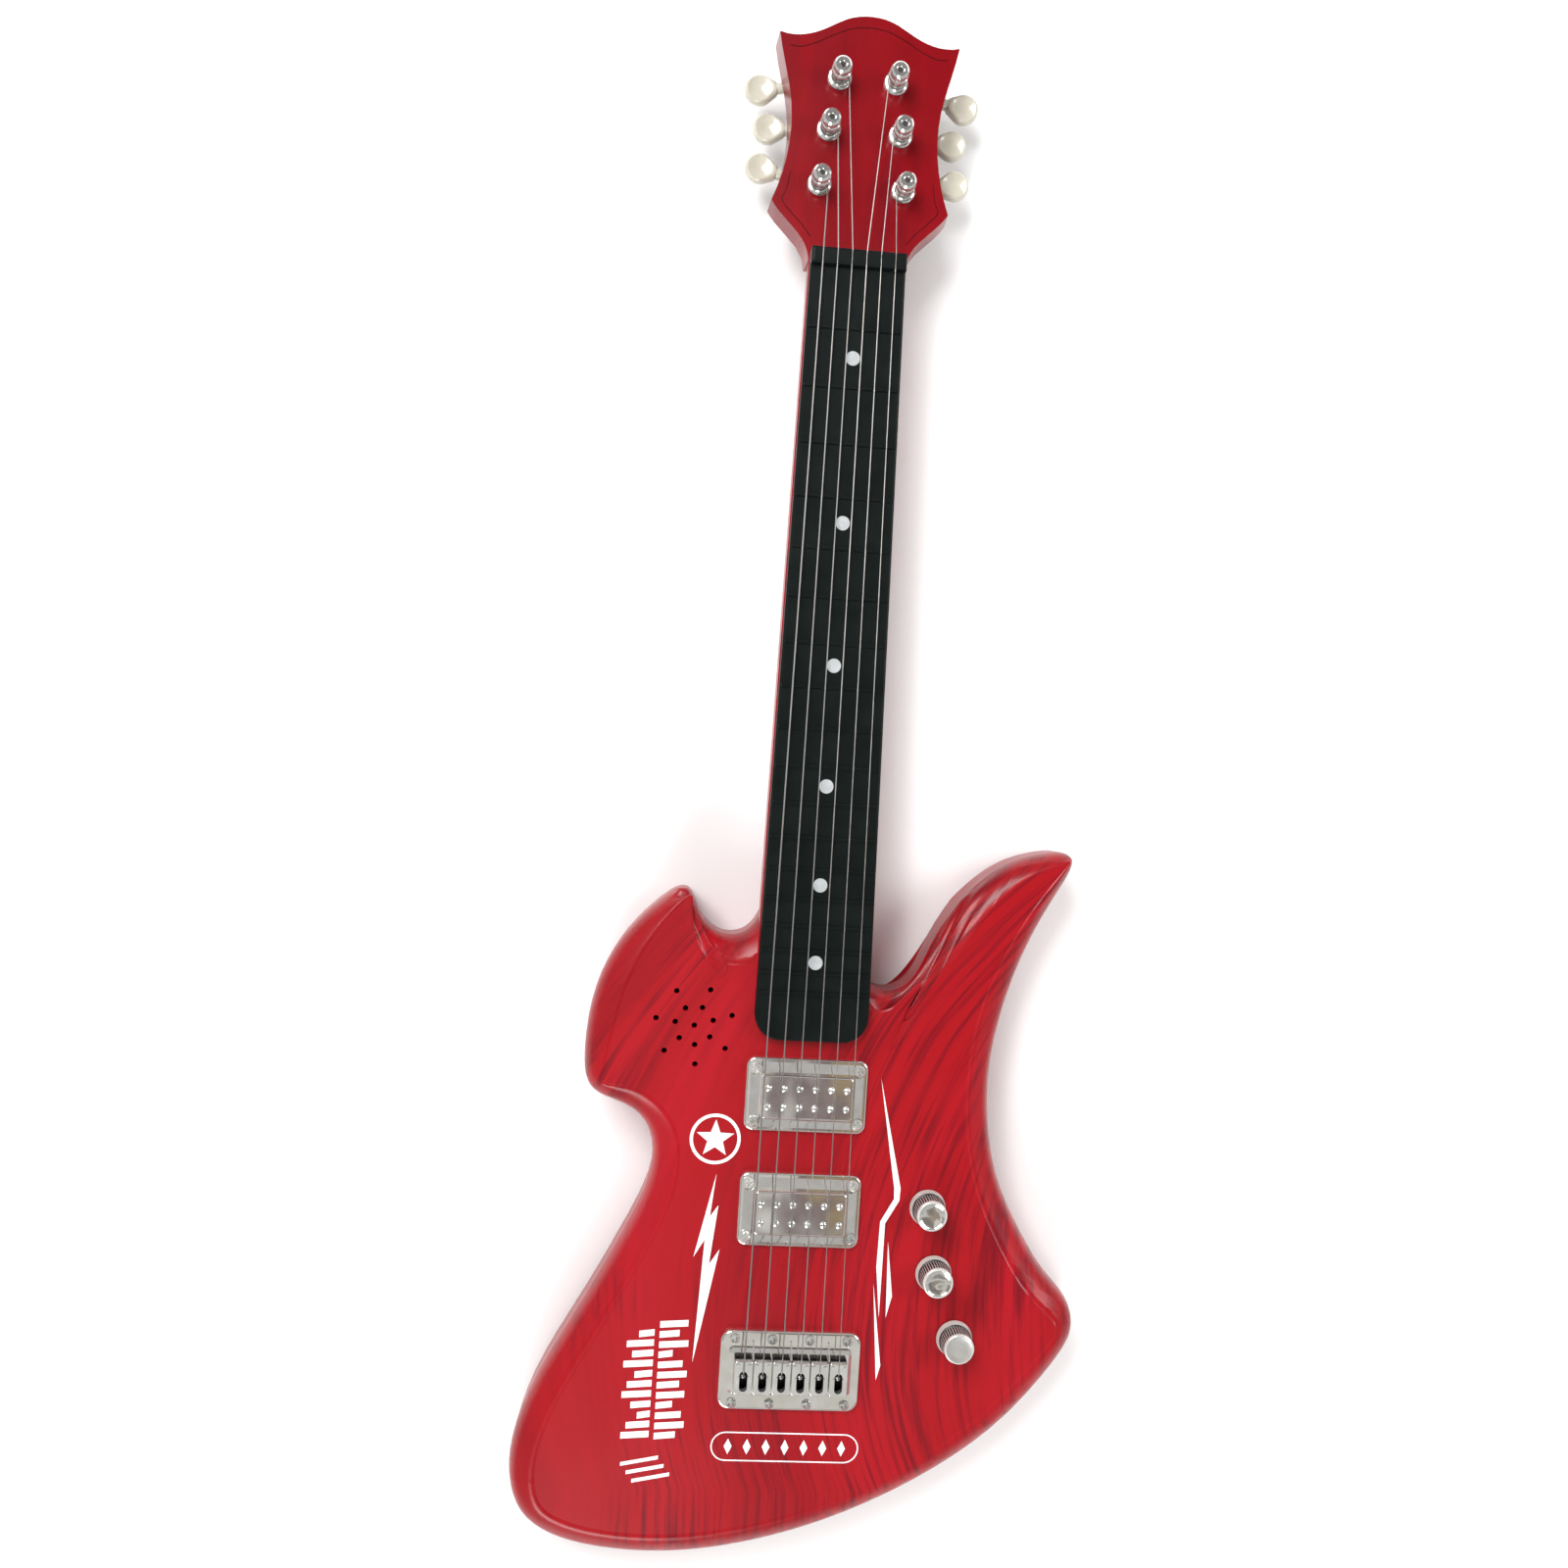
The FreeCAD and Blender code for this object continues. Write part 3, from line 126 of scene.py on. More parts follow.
def ease(tree, value, start, end, top=1.0):
    """A smooth step of the value between start and end, from nothing to top."""
    made = node(tree, "ShaderNodeMapRange", interpolation_type="SMOOTHSTEP")
    made.inputs["From Min"].default_value = start
    made.inputs["From Max"].default_value = end
    made.inputs["To Max"].default_value = top
    tree.links.new(value, made.inputs["Value"])
    return made.outputs["Result"]


def blend(tree, share, first, second):
    """Two colours mixed by a share; each is a socket or a plain colour."""
    made = node(tree, "ShaderNodeMix", data_type="RGBA")
    tree.links.new(share, made.inputs["Factor"])
    for place_in_node, colour in ((6, first), (7, second)):
        if isinstance(colour, tuple):
            made.inputs[place_in_node].default_value = (*colour, 1.0)
        else:
            tree.links.new(colour, made.inputs[place_in_node])
    return made.outputs[2]


def bump(tree, shader, height, strength, distance):
    made = node(tree, "ShaderNodeBump")
    made.inputs["Strength"].default_value = strength
    made.inputs["Distance"].default_value = distance
    tree.links.new(height, made.inputs["Height"])
    tree.links.new(made.outputs["Normal"], shader.inputs["Normal"])


def moulded(name, dark, light, rough, metal=0.0, coat=0.0, grain=60.0, bumpiness=0.08, stretch=(1, 1, 1),
           gloss=0.5):
    """A moulded, plated or drawn surface: two near tones, uneven roughness and a fine relief."""
    material, tree, shader = new_material(name)
    coords = object_coords(tree, stretch)
    cloud = noise(tree, coords, grain, 4.0, 0.55)
    fine = noise(tree, coords, grain * 22, 2.0, 0.6)
    tree.links.new(ramp(tree, cloud, ((0.3, dark), (0.7, light))), shader.inputs["Base Color"])
    tree.links.new(spread(tree, cloud, rough[0], rough[1]), shader.inputs["Roughness"])
    shader.inputs["Metallic"].default_value = metal
    shader.inputs["Coat Weight"].default_value = coat
    shader.inputs["Specular IOR Level"].default_value = gloss
    shader.inputs["Coat Roughness"].default_value = 0.08
    bump(tree, shader, fine, bumpiness, 0.00008)
    return material


def wood_grain_red():
    """Glossy red with darker flowing streaks, like printed timber."""
    material, tree, shader = new_material("red_wood_grain")
    coords = object_coords(tree)
    split = node(tree, "ShaderNodeSeparateXYZ")
    tree.links.new(coords, split.inputs["Vector"])
    x, y, z = (split.outputs[axis] for axis in "XYZ")
    # the streaks stand upright at the foot of the body and lean over more and more towards the horns
    above_foot = math_node(tree, "MINIMUM", math_node(tree, "ADD", y, 0.20), 0.22)
    rise = math_node(tree, "MAXIMUM", above_foot, -0.10)
    bend = math_node(tree, "MULTIPLY", math_node(tree, "MULTIPLY", rise, rise), 2.6)
    lean = math_node(tree, "ADD", math_node(tree, "MULTIPLY", rise, 0.10), bend)
    drift = math_node(tree, "SUBTRACT", noise(tree, coords, 7.0, 1.0, 0.4), 0.5)
    sway = math_node(tree, "MULTIPLY", drift, 0.035)
    across = math_node(tree, "SUBTRACT", math_node(tree, "ADD", x, sway), lean)
    joined = node(tree, "ShaderNodeCombineXYZ")
    tree.links.new(across, joined.inputs["X"])
    tree.links.new(math_node(tree, "MULTIPLY", y, 0.04), joined.inputs["Y"])
    tree.links.new(math_node(tree, "MULTIPLY", z, 0.4), joined.inputs["Z"])
    dark_line = ease(tree, noise(tree, joined.outputs["Vector"], 330.0, 3.0, 0.6, 0.1), 0.56, 0.33)
    where = ease(tree, noise(tree, coords, 13.0, 2.0, 0.5), 0.40, 0.62)
    depth = math_node(tree, "ADD", math_node(tree, "MULTIPLY", where, 0.70), 0.12)
    strength = math_node(tree, "MULTIPLY", dark_line, depth)
    ground = ramp(tree, noise(tree, joined.outputs["Vector"], 34.0, 2.0, 0.5),
                  ((0.3, (0.235, 0.0030, 0.0075)), (0.5, (0.315, 0.0042, 0.0085)),
                   (0.7, (0.355, 0.0052, 0.012))))
    head_share = ease(tree, y, 0.18, 0.26, 0.60)
    darker = blend(tree, head_share, ground, (0.105, 0.0016, 0.0040))
    mix = blend(tree, strength, darker, (0.128, 0.0026, 0.0085))
    tree.links.new(mix, shader.inputs["Base Color"])
    rough = spread(tree, noise(tree, coords, 30.0, 3.0, 0.5), 0.24, 0.34)
    smoother = math_node(tree, "MULTIPLY", head_share, 0.16)
    tree.links.new(math_node(tree, "SUBTRACT", rough, smoother), shader.inputs["Roughness"])
    shader.inputs["Coat Weight"].default_value = 0.06
    shader.inputs["Coat Roughness"].default_value = 0.16
    shader.inputs["Specular IOR Level"].default_value = 0.28
    bump(tree, shader, noise(tree, coords, 900.0, 2.0, 0.5), 0.04, 0.00005)
    return material


def plated(name, low, high, rough, waves, wave_size, metal=1.0):
    """Bright plating on moulded plastic: the surface has shallow uneven waves."""
    material, tree, shader = new_material(name)
    coords = object_coords(tree)
    cloud = noise(tree, coords, 140.0, 3.0, 0.5)
    tree.links.new(ramp(tree, cloud, ((0.3, low), (0.7, high))), shader.inputs["Base Color"])
    tree.links.new(spread(tree, cloud, rough[0], rough[1]), shader.inputs["Roughness"])
    shader.inputs["Metallic"].default_value = metal
    bump(tree, shader, noise(tree, coords, waves, 1.0, 0.4), 1.0, wave_size)
    return material


def wound_wire():
    material, tree, shader = new_material("wound_wire")
    coords = object_coords(tree)
    wave = node(tree, "ShaderNodeTexWave", bands_direction="Y")
    wave.inputs["Scale"].default_value = 900.0
    tree.links.new(coords, wave.inputs["Vector"])
    tree.links.new(ramp(tree, wave.outputs["Fac"], ((0.1, (0.20, 0.19, 0.18)), (0.8, (0.34, 0.33, 0.32)))),
                   shader.inputs["Base Color"])
    tree.links.new(spread(tree, noise(tree, coords, 120.0), 0.34, 0.46), shader.inputs["Roughness"])
    shader.inputs["Metallic"].default_value = 0.9
    bump(tree, shader, wave.outputs["Fac"], 0.2, 0.00005)
    return material


def painted_shade_below(material, height):
    """The same material with painted shade: nearly black under the given height."""
    tree = material.node_tree
    shader = tree.nodes["Principled BSDF"]
    split = node(tree, "ShaderNodeSeparateXYZ")
    tree.links.new(node(tree, "ShaderNodeTexCoord").outputs["Object"], split.inputs["Vector"])
    # share of the painted shade: none at the height, full from 0.6 mm below it
    depth = ease(tree, split.outputs["Z"], height, height - 0.0006)
    plating = shader.inputs["Base Color"].links[0].from_socket
    tree.links.new(blend(tree, depth, plating, (0.006, 0.006, 0.006)), shader.inputs["Base Color"])
    return material


RED = wood_grain_red()
CHROME = plated("chrome_plate", (0.78, 0.75, 0.70), (0.90, 0.88, 0.85), (0.05, 0.10), 42.0, 0.0004, 0.96)
SMALL_CHROME = plated("chrome_small", (0.66, 0.66, 0.64), (0.82, 0.82, 0.80), (0.06, 0.12), 300.0, 0.00006,
                      0.85)
KNOB_CHROME = plated("chrome_knob", (0.56, 0.56, 0.53), (0.70, 0.70, 0.66), (0.10, 0.18), 220.0, 0.00025,
                     0.30)
SCREW_HEAD = plated("chrome_screw", (0.52, 0.52, 0.50), (0.86, 0.86, 0.82), (0.08, 0.16), 700.0, 0.00035,
                    0.70)
# A near-black copy of the knob plating: painted shade for the knurl valleys, the bands under and above the
# knob flanges and the post sockets.
KNOB_DARK = plated("chrome_shade", (0.020, 0.018, 0.017), (0.050, 0.046, 0.044), (0.3, 0.4), 220.0, 0.00010,
                   0.3)
KNOB_TOP = plated("chrome_knob_top", (0.70, 0.68, 0.64), (0.84, 0.82, 0.78), (0.08, 0.14), 130.0, 0.0010,
                  0.92)
SATIN = plated("satin_top", (0.62, 0.61, 0.58), (0.72, 0.71, 0.68), (0.30, 0.40), 500.0, 0.00004, 0.85)
SADDLE_CHROME = plated("chrome_saddle", (0.74, 0.73, 0.70), (0.88, 0.87, 0.85), (0.06, 0.12), 200.0,
                       0.00005, 0.9)
BOARD = moulded("black_moulding", (0.0036, 0.0058, 0.0055), (0.0062, 0.0090, 0.0086), (0.30, 0.38), grain=70,
                bumpiness=0.12, gloss=0.1)
GREY = moulded("dot_inlay", (0.36, 0.38, 0.39), (0.46, 0.48, 0.49), (0.25, 0.35), grain=300)
CREAM = moulded("cream_plastic", (0.50, 0.48, 0.39), (0.58, 0.56, 0.47), (0.16, 0.24), coat=0.5, grain=160)
STEEL = moulded("plated_steel", (0.46, 0.46, 0.46), (0.62, 0.62, 0.61), (0.2, 0.36), 1.0, grain=180,
                bumpiness=0.15)
WIRE = moulded("plain_wire", (0.34, 0.32, 0.30), (0.46, 0.44, 0.42), (0.3, 0.4), 1.0, grain=200)
WOUND = wound_wire()
BRASS = moulded("brass", (0.50, 0.34, 0.12), (0.66, 0.48, 0.20), (0.22, 0.36), 1.0, grain=220)
INK = moulded("white_ink", (0.78, 0.80, 0.81), (0.86, 0.87, 0.88), (0.28, 0.4), coat=0.2, grain=90)
GREEN = moulded("circuit_green", (0.02, 0.11, 0.05), (0.03, 0.17, 0.07), (0.3, 0.45), grain=120)
BLACK_PAINT = moulded("black_paint", (0.012, 0.012, 0.013), (0.03, 0.03, 0.03), (0.35, 0.5), grain=100,
                      bumpiness=0.2)
PAPER = moulded("cone_paper", (0.02, 0.02, 0.02), (0.045, 0.044, 0.042), (0.7, 0.9), grain=400, bumpiness=0.5)
JACKET = moulded("cell_jacket", (0.03, 0.07, 0.16), (0.05, 0.10, 0.22), (0.25, 0.35), 0.2, grain=90)
RED_RUBBER = moulded("red_insulation", (0.30, 0.012, 0.012), (0.42, 0.02, 0.02), (0.45, 0.6), grain=300)
BLACK_RUBBER = moulded("black_insulation", (0.012, 0.012, 0.012), (0.03, 0.03, 0.03), (0.45, 0.6), grain=300)
GROOVE_SHADE = moulded("groove_shade", (0.030, 0.0014, 0.0024), (0.055, 0.0020, 0.0034), (0.5, 0.6), grain=200,
                 gloss=0.05)

# Painted shade: the saddles turn nearly black below 46.2 mm over the back, darkening their slots and lower
# sides.
painted_shade_below(SADDLE_CHROME, 0.0462)

MATERIAL_OF = {
    "front_shell": RED, "back_shell": RED, "battery_door": RED, "fretboard": BOARD, "nut": BOARD,
    "fret_dots": GREY, "neck_pickup": CHROME, "bridge_pickup": CHROME, "bridge_plate": CHROME,
    "bridge_saddles": SADDLE_CHROME,
    "upper_knob": KNOB_CHROME, "middle_knob": KNOB_CHROME, "lower_knob": KNOB_CHROME,
    "post_bushes": SMALL_CHROME, "pole_screws": SMALL_CHROME,
    "pickup_screws": SCREW_HEAD, "bridge_screws": SMALL_CHROME,
    "tuner_screws": STEEL, "case_screws": STEEL, "door_screw": STEEL, "tuner_plates": STEEL,
    "potentiometers": STEEL, "battery_contacts": STEEL, "circuit_board": GREEN,
    "speaker_frame": BLACK_PAINT, "speaker_cone": PAPER, "batteries": JACKET,
    "battery_lead": RED_RUBBER, "speaker_lead": BLACK_RUBBER,
}
for number in range(1, 7):
    MATERIAL_OF["string_%d" % number] = WIRE if number < 4 else WOUND
    MATERIAL_OF["tuner_button_%d" % number] = CREAM
    MATERIAL_OF["worm_shaft_%d" % number] = STEEL
    MATERIAL_OF["string_post_%d" % number] = SMALL_CHROME
    MATERIAL_OF["post_gear_%d" % number] = BRASS

for name, cad in NODES.items():
    cad.data.materials.clear()
    cad.data.materials.append(MATERIAL_OF[name])


# ---------------------------------------------------------------- printed graphics, all of plain shapes
SUNK = 0.02    # how far a print reaches into the surface under it, in millimetres


def add_mesh(name, vertices, faces, material, body="guitar"):
    mesh = bpy.data.meshes.new(name)
    mesh.from_pydata([tuple(v) for v in vertices], [], faces)
    mesh.update()
    piece = bpy.data.objects.new(name, mesh)
    bpy.context.scene.collection.objects.link(piece)
    mesh.materials.append(material)
    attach(piece, body)
    return piece


def print_shapes(name, outlines, z, material, thickness=0.06):
    """Flat prints: each outline is a ring of x, y points and becomes a thin solid on height z."""
    vertices = []
    faces = []
    for outline in outlines:
        n = len(outline)
        start = len(vertices)
        vertices += [place(x, y, z - SUNK) for x, y in outline]
        vertices += [place(x, y, z + thickness) for x, y in outline]
        faces.append([start + i for i in reversed(range(n))])
        faces.append([start + n + i for i in range(n)])
        faces += [(start + i, start + (i + 1) % n, start + n + (i + 1) % n, start + n + i) for i in range(n)]
    return add_mesh(name, vertices, faces, material)


def print_band(name, centre_line, width, z, material, closed=False, thickness=0.06):
    """A flat printed line of constant width along a chain of points."""
    n = len(centre_line)
    left, right = [], []
    for i, (x, y) in enumerate(centre_line):
        before = centre_line[i - 1] if closed or i else centre_line[i]
        after = centre_line[(i + 1) % n] if closed or i < n - 1 else centre_line[i]
        dx, dy = after[0] - before[0], after[1] - before[1]
        length = math.hypot(dx, dy)
        left.append((x - dy / length * width / 2, y + dx / length * width / 2))
        right.append((x + dy / length * width / 2, y - dx / length * width / 2))
    vertices, faces = [], []
    for ring in (left, right):
        for level in (z - SUNK, z + thickness):
            vertices += [place(x, y, level) for x, y in ring]
    for i in range(n if closed else n - 1):
        j = (i + 1) % n
        faces += [(n + i, 3 * n + i, 3 * n + j, n + j), (i, n + i, n + j, j),
                  (2 * n + i, 2 * n + j, 3 * n + j, 3 * n + i), (i, j, 2 * n + j, 2 * n + i)]
    return add_mesh(name, vertices, faces, material)


def star(x, y, outer, inner, points, turn):
    ring = []
    for i in range(2 * points):
        radius = outer if i % 2 == 0 else inner
        angle = math.radians(turn) + math.pi * i / points
        ring.append((x + radius * math.cos(angle), y + radius * math.sin(angle)))
    return ring


def circle(x, y, radius, count=72):
    return [(x + radius * math.cos(2 * math.pi * i / count), y + radius * math.sin(2 * math.pi * i / count))
            for i in range(count)]


def stadium(x, y, width, height, count=24):
    radius = height / 2
    ring = []
    for side in (1, -1):
        for i in range(count + 1):
            angle = -math.pi / 2 + math.pi * i / count
            reach = width / 2 - radius + radius * math.cos(angle)
            ring.append((x + side * reach, y + side * radius * math.sin(angle)))
    return ring


def slant_box(x0, x1, y0, y1, lean):
    return [(x0, y0), (x1, y0 + lean), (x1, y1 + lean), (x0, y1)]


STAR_CENTRE = (-37.7, -371.1)
print_shapes("print_star", [star(*STAR_CENTRE, 8.4, 3.5, 5, 90)], FACE_Z, INK)
print_band("print_star_ring", circle(*STAR_CENTRE, 10.2), 1.4, FACE_Z, INK, closed=True)
print_shapes("print_bolt",
             [[(-36.2, -386.0), (-44.0, -422.2), (-39.6, -414.6), (-41.8, -468.0), (-33.0, -418.6),
                             (-37.2, -425.2), (-34.6, -399.6), (-38.0, -404.6)]], FACE_Z, INK)
print_shapes("print_slash", [
    [(32.2, -342.0), (40.8, -389.5), (41.0, -394.2), (35.6, -404.2), (35.2, -424.0), (37.6, -446.0),
     (37.8, -405.0), (43.4, -394.8), (43.6, -389.5)],
    [(34.4, -431.4), (38.0, -473.5), (39.6, -467.0)],
    [(39.6, -413.0), (40.6, -446.0), (42.8, -436.5)]], FACE_Z, INK)
LEFT_BARS = (6.5, 11.5, 9.0, 12.5, 7.5, 10.5, 12.5, 8.5, 5.5, 10.0, 12.0)
RIGHT_BARS = (12.0, 8.5, 12.5, 6.0, 10.5, 12.5, 9.5, 12.0, 7.0, 11.0, 12.5, 9.0)
print_shapes("print_bars", [slant_box(-58.6 - length, -58.6, -457.6 - 4.4 * i, -454.8 - 4.4 * i, 0.9)
                            for i, length in enumerate(LEFT_BARS)]
             + [slant_box(-56.4, -56.4 + length, -453.2 - 4.4 * i, -450.4 - 4.4 * i, 0.9)
                for i, length in enumerate(RIGHT_BARS)], FACE_Z, INK)
print_shapes("print_dashes",
             [slant_box(-70.0 + 2.6 * i, -54.0 + 2.6 * i, -513.4 - 3.6 * i, -511.8 - 3.6 * i, 3.2)
                              for i in range(3)], FACE_Z, INK)
BADGE = (0.2, -503.9)
print_band("print_badge_line", stadium(*BADGE, 63.5, 12.2), 0.55, FACE_Z, INK, closed=True)
print_shapes("print_badge_diamonds", [star(BADGE[0] + 8.2 * k, BADGE[1], 3.4, 1.7, 2, 90)
                                      for k in (-3, -2, -1, 0, 1, 2, 3)], FACE_Z, INK)

HEAD_LINE = ((33.6, 93.2), (29.0, 93.0), (22.4, 95.4), (16.0, 98.9), (9.2, 102.0), (4.6, 103.1), (0, 103.4))
FLARE_LINE = ((30.4, 40.5), (31.8, 33.0), (33.2, 28.6), (29.0, 23.4), (24.0, 18.6), (20.4, 14.0))


def smooth_chain(points, steps=8):
    """Catmull-Rom points through a chain."""
    chain = []
    for i in range(len(points) - 1):
        p0, p1, p2, p3 = points[max(i - 1, 0)], points[i], points[i + 1], points[min(i + 2, len(points) - 1)]
        for k in range(steps):
            t = k / steps
            chain.append(tuple(
                0.5 * (2 * b + (c - a) * t + (2 * a - 5 * b + 4 * c - d) * t * t
                       + (3 * b - a - 3 * c + d) * t ** 3)
                for a, b, c, d in zip(p0, p1, p2, p3)))
    return chain + [points[-1]]


# Dark bands along the head's top and flares: painted shade standing in for engraved grooves.
top_line = HEAD_LINE + tuple((-x, y) for x, y in reversed(HEAD_LINE[:-1]))
print_band("head_line", smooth_chain(top_line), 0.42, HEAD_Z, GROOVE_SHADE, thickness=0.015)
for side, label in ((1, "treble"), (-1, "bass")):
    flare_line = smooth_chain([(side * x, y) for x, y in FLARE_LINE])
    print_band("flare_line_" + label, flare_line, 0.36, HEAD_Z, GROOVE_SHADE, thickness=0.015)

# ---------------------------------------------------------------- knobs with a knurled barrel
KNOB_TEETH = 36
STEPS_PER_TOOTH = 6
VALLEY_STEPS = (1, 2, 3, 4)
SHARP_EDGE = math.radians(38)
KNOB_SPOTS = {"upper_knob": (55.8, -397.3), "middle_knob": (60.2, -425.9), "lower_knob": (71.1, -454.0)}
BRIGHT, TOP, DARK = 0, 1, 2
# radius, height over the face, depth of the knurl and material of the band below; DARK bands are painted
# shade under the flange and in the crease above it
KNOB_SIDE = (
    (0, -7.4, 0, BRIGHT), (3.0, -7.4, 0, BRIGHT), (3.0, 0.4, 0, BRIGHT), (7.6, 0.4, 0, DARK),
    (7.9, 0.6, 0, DARK), (7.9, 1.0, 0, BRIGHT), (7.7, 1.4, 0, BRIGHT), (7.3, 2.6, 0, BRIGHT),
    (7.1, 3.1, 0, BRIGHT), (6.9, 3.3, 0, DARK), (6.5, 3.5, 0, DARK), (6.6, 3.9, 0.5, BRIGHT),
    (6.45, 10.7, 0.5, BRIGHT), (6.3, 10.9, 0, BRIGHT), (6.5, 11.1, 0, BRIGHT), (6.5, 11.7, 0, BRIGHT),
    (6.35, 12.1, 0, BRIGHT), (6.05, 12.35, 0, BRIGHT))
DISHED_TOP = (
    (5.6, 12.4, 0, BRIGHT), (5.3, 12.25, 0, TOP), (4.9, 11.95, 0, TOP), (3.6, 11.7, 0, TOP),
    (1.8, 11.6, 0, TOP), (0, 11.58, 0, TOP))
FLAT_TOP = ((5.75, 12.4, 0, BRIGHT), (5.6, 12.33, 0, TOP), (3.0, 12.32, 0, TOP), (0, 12.32, 0, TOP))


def turned_piece(name, profile, centre, teeth, materials, body):
    """A solid of revolution; rings may carry a knurl, whose valleys take painted shade from the dark
    material.
    """
    steps = teeth * STEPS_PER_TOOTH
    vertices, faces, face_slots, rows = [], [], [], []
    for radius, height, knurl, _ in profile:
        if radius == 0:
            rows.append([len(vertices)] * steps)
            vertices.append(place(centre[0], centre[1], FACE_Z + height))
            continue
        rows.append(list(range(len(vertices), len(vertices) + steps)))
        for k in range(steps):
            angle = 2 * math.pi * k / steps
            r = radius - knurl * (0.5 - 0.5 * math.cos(angle * teeth))
            x, y = centre[0] + r * math.cos(angle), centre[1] + r * math.sin(angle)
            vertices.append(place(x, y, FACE_Z + height))
    for low, high, (_, _, knurl, band_slot) in zip(rows, rows[1:], profile[1:]):
        for k in range(steps):
            ring = [low[k], low[(k + 1) % steps], high[(k + 1) % steps], high[k]]
            faces.append(list(dict.fromkeys(ring)))
            # the valleys of the knurl take painted shade
            in_valley = knurl and k % STEPS_PER_TOOTH in VALLEY_STEPS
            face_slots.append(DARK if in_valley else band_slot)
    piece = add_mesh(name, vertices, faces, materials[0], body)
    for material in materials[1:]:
        piece.data.materials.append(material)
    for polygon, band_slot in zip(piece.data.polygons, face_slots):
        polygon.material_index = band_slot
    piece.data.shade_smooth()
    piece.data.set_sharp_from_angle(angle=SHARP_EDGE)
    return piece


for knob_name, spot in KNOB_SPOTS.items():
    top, top_material = (FLAT_TOP, SATIN) if knob_name == "lower_knob" else (DISHED_TOP, KNOB_TOP)
    knob = turned_piece(knob_name + "_turned", KNOB_SIDE + top, spot, KNOB_TEETH,
                        (KNOB_CHROME, top_material, KNOB_DARK), knob_name)
    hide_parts(knob_name)

# ---------------------------------------------------------------- dark hexagons in the caps of the posts: painted shade in their sockets
SOCKET_RADIUS = 1.15
SOCKET_DEPTHS = (1.02, 0.90)    # below the top of the post
SOCKET_CORNERS = [math.tau * i / 6 for i in range(6)]
SOCKET_RING = [(SOCKET_RADIUS * MM * math.cos(angle), SOCKET_RADIUS * MM * math.sin(angle))
               for angle in SOCKET_CORNERS]


def post_socket_shade(number):
    low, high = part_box("string_post_%d" % number)
    middle = (low + high) / 2
    levels = [high.z - depth * MM for depth in SOCKET_DEPTHS]
    vertices = [(middle.x + x, middle.y + y, level) for level in levels for x, y in SOCKET_RING]
    faces = [tuple(reversed(range(6))), tuple(range(6, 12))]
    faces += [(i, (i + 1) % 6, 6 + (i + 1) % 6, 6 + i) for i in range(6)]
    add_mesh("post_socket_%d" % number, vertices, faces, KNOB_DARK, "post_%d" % number)


for number in range(1, 7):
    post_socket_shade(number)

# ---------------------------------------------------------------- floor, light and camera
HALF_FLOOR = 6.0
FLOOR_DROP = 0.0002    # keeps the floor clear of the flat back
corners = [(x * HALF_FLOOR, y * HALF_FLOOR, 0) for x, y in ((-1, -1), (1, -1), (1, 1), (-1, 1))]
floor_mesh = bpy.data.meshes.new("floor")
floor_mesh.from_pydata(corners, [], [(0, 1, 2, 3)])
floor = bpy.data.objects.new("floor", floor_mesh)
bpy.context.scene.collection.objects.link(floor)
FLOOR_PAPER = moulded("floor_paper", (0.86, 0.86, 0.86), (0.88, 0.88, 0.88), (0.8, 0.9), grain=4,
                      bumpiness=0.0)
floor_mesh.materials.append(FLOOR_PAPER)
floor.location.z = -FLOOR_DROP


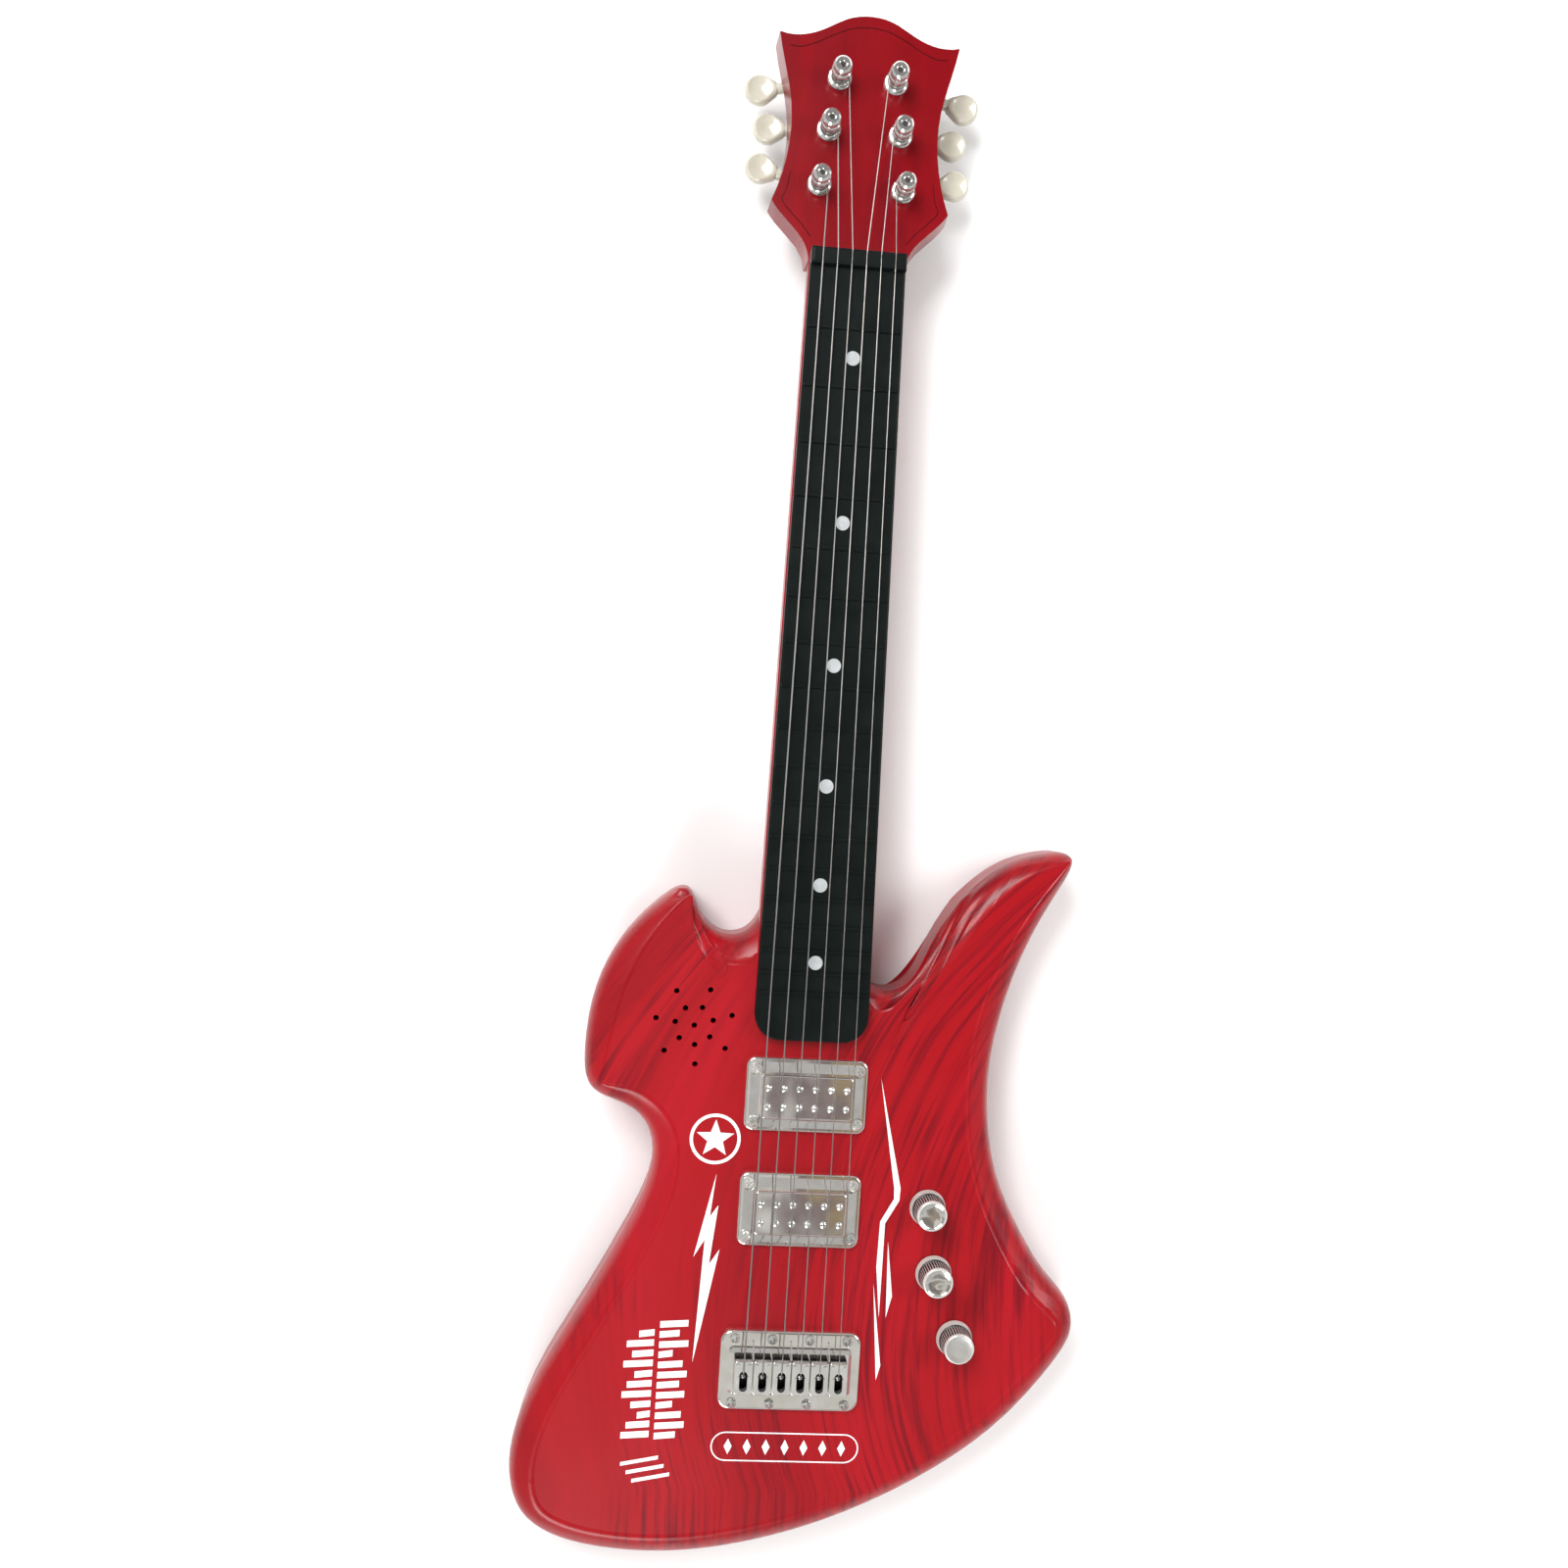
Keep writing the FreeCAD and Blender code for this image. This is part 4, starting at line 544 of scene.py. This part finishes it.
def studio_surroundings():
    """Pale grey walls, a dusky uneven ceiling with pale and ochre patches at its top, and a pale strip."""
    world = bpy.data.worlds.new("studio")
    bpy.context.scene.world = world
    world.use_nodes = True
    sky = world.node_tree
    direction = node(sky, "ShaderNodeTexCoord").outputs["Generated"]
    parts = node(sky, "ShaderNodeSeparateXYZ")
    sky.links.new(direction, parts.inputs["Vector"])
    ceiling = ramp(sky, noise(sky, direction, 6.0, 1.0, 0.4),
                   ((0.38, (0.07, 0.055, 0.055)), (0.50, (0.13, 0.11, 0.10)), (0.60, (0.30, 0.27, 0.23))))
    ragged = math_node(sky, "MULTIPLY", noise(sky, direction, 14.0, 2.0, 0.5), 0.02)
    patches = ramp(sky, math_node(sky, "ADD", parts.outputs["X"], ragged),
                   ((0.0, (0.60, 0.60, 0.57)), (0.090, (0.66, 0.66, 0.63)), (0.100, (0.10, 0.065, 0.07)),
                    (0.112, (0.20, 0.145, 0.155)), (0.134, (0.15, 0.115, 0.115)), (0.140, (0.34, 0.25, 0.13)),
                    (0.175, (0.30, 0.22, 0.12)), (0.20, (0.13, 0.11, 0.10))))
    room = blend(sky, ease(sky, parts.outputs["Z"], 0.925, 0.94), ceiling, patches)
    above = ease(sky, parts.outputs["Z"], 0.74, 0.86)
    walls_and_ceiling = blend(sky, above, (0.46, 0.46, 0.46), room)
    along = math_node(sky, "ADD", math_node(sky, "MULTIPLY", parts.outputs["Y"], 0.5), 0.5)
    strip = ramp(sky, along, ((0.265, (0, 0, 0)), (0.285, (1, 1, 1)), (0.315, (1, 1, 1)), (0.335, (0, 0, 0))))
    glow = blend(sky, strip, walls_and_ceiling, (0.62, 0.62, 0.59))
    sky.links.new(glow, sky.nodes["Background"].inputs["Color"])
    sky.nodes["Background"].inputs["Strength"].default_value = 1.0


studio_surroundings()


def softbox(name, azimuth, elevation, distance, size, power):
    """A square soft light aimed at the middle of the object."""
    turn, lift = math.radians(azimuth), math.radians(elevation)
    towards = (math.cos(turn) * math.cos(lift), math.sin(turn) * math.cos(lift), math.sin(lift))
    spot = Vector(towards) * distance
    lamp = bpy.data.lights.new(name, "AREA")
    lamp.shape = "SQUARE"
    lamp.size = size
    lamp.energy = power
    holder = bpy.data.objects.new(name, lamp)
    holder.location = spot
    holder.rotation_mode = "QUATERNION"
    holder.rotation_quaternion = (-spot).to_track_quat("-Z", "Y")
    bpy.context.scene.collection.objects.link(holder)


softbox("key", 125, 50, 1.5, 0.70, 20.0)
softbox("side", 15, 40, 1.6, 0.65, 11.0)
softbox("low", 255, 33, 1.7, 0.75, 15.0)
softbox("strip", 150, 62, 1.5, 0.25, 2.6)

CAMERA_AT = place(-64.7, -203.8, 598.7 + FACE_Z)
LOOK = Vector((0.0785, -0.0235, -0.9966)).normalized()
UP = Vector((-0.059, 0.9979, -0.0281))
side_way = LOOK.cross(UP).normalized()
camera_data = bpy.data.cameras.new("camera")
camera_data.sensor_width = 36.0
camera_data.lens = 32.38
camera_data.clip_start = 0.01
camera = bpy.data.objects.new("camera", camera_data)
up_way = side_way.cross(LOOK)
camera.matrix_world = Matrix((
    (side_way.x, up_way.x, -LOOK.x, CAMERA_AT.x),
    (side_way.y, up_way.y, -LOOK.y, CAMERA_AT.y),
    (side_way.z, up_way.z, -LOOK.z, CAMERA_AT.z),
    (0, 0, 0, 1)))
bpy.context.scene.collection.objects.link(camera)
bpy.context.scene.camera = camera
bpy.context.scene.view_settings.view_transform = "Standard"
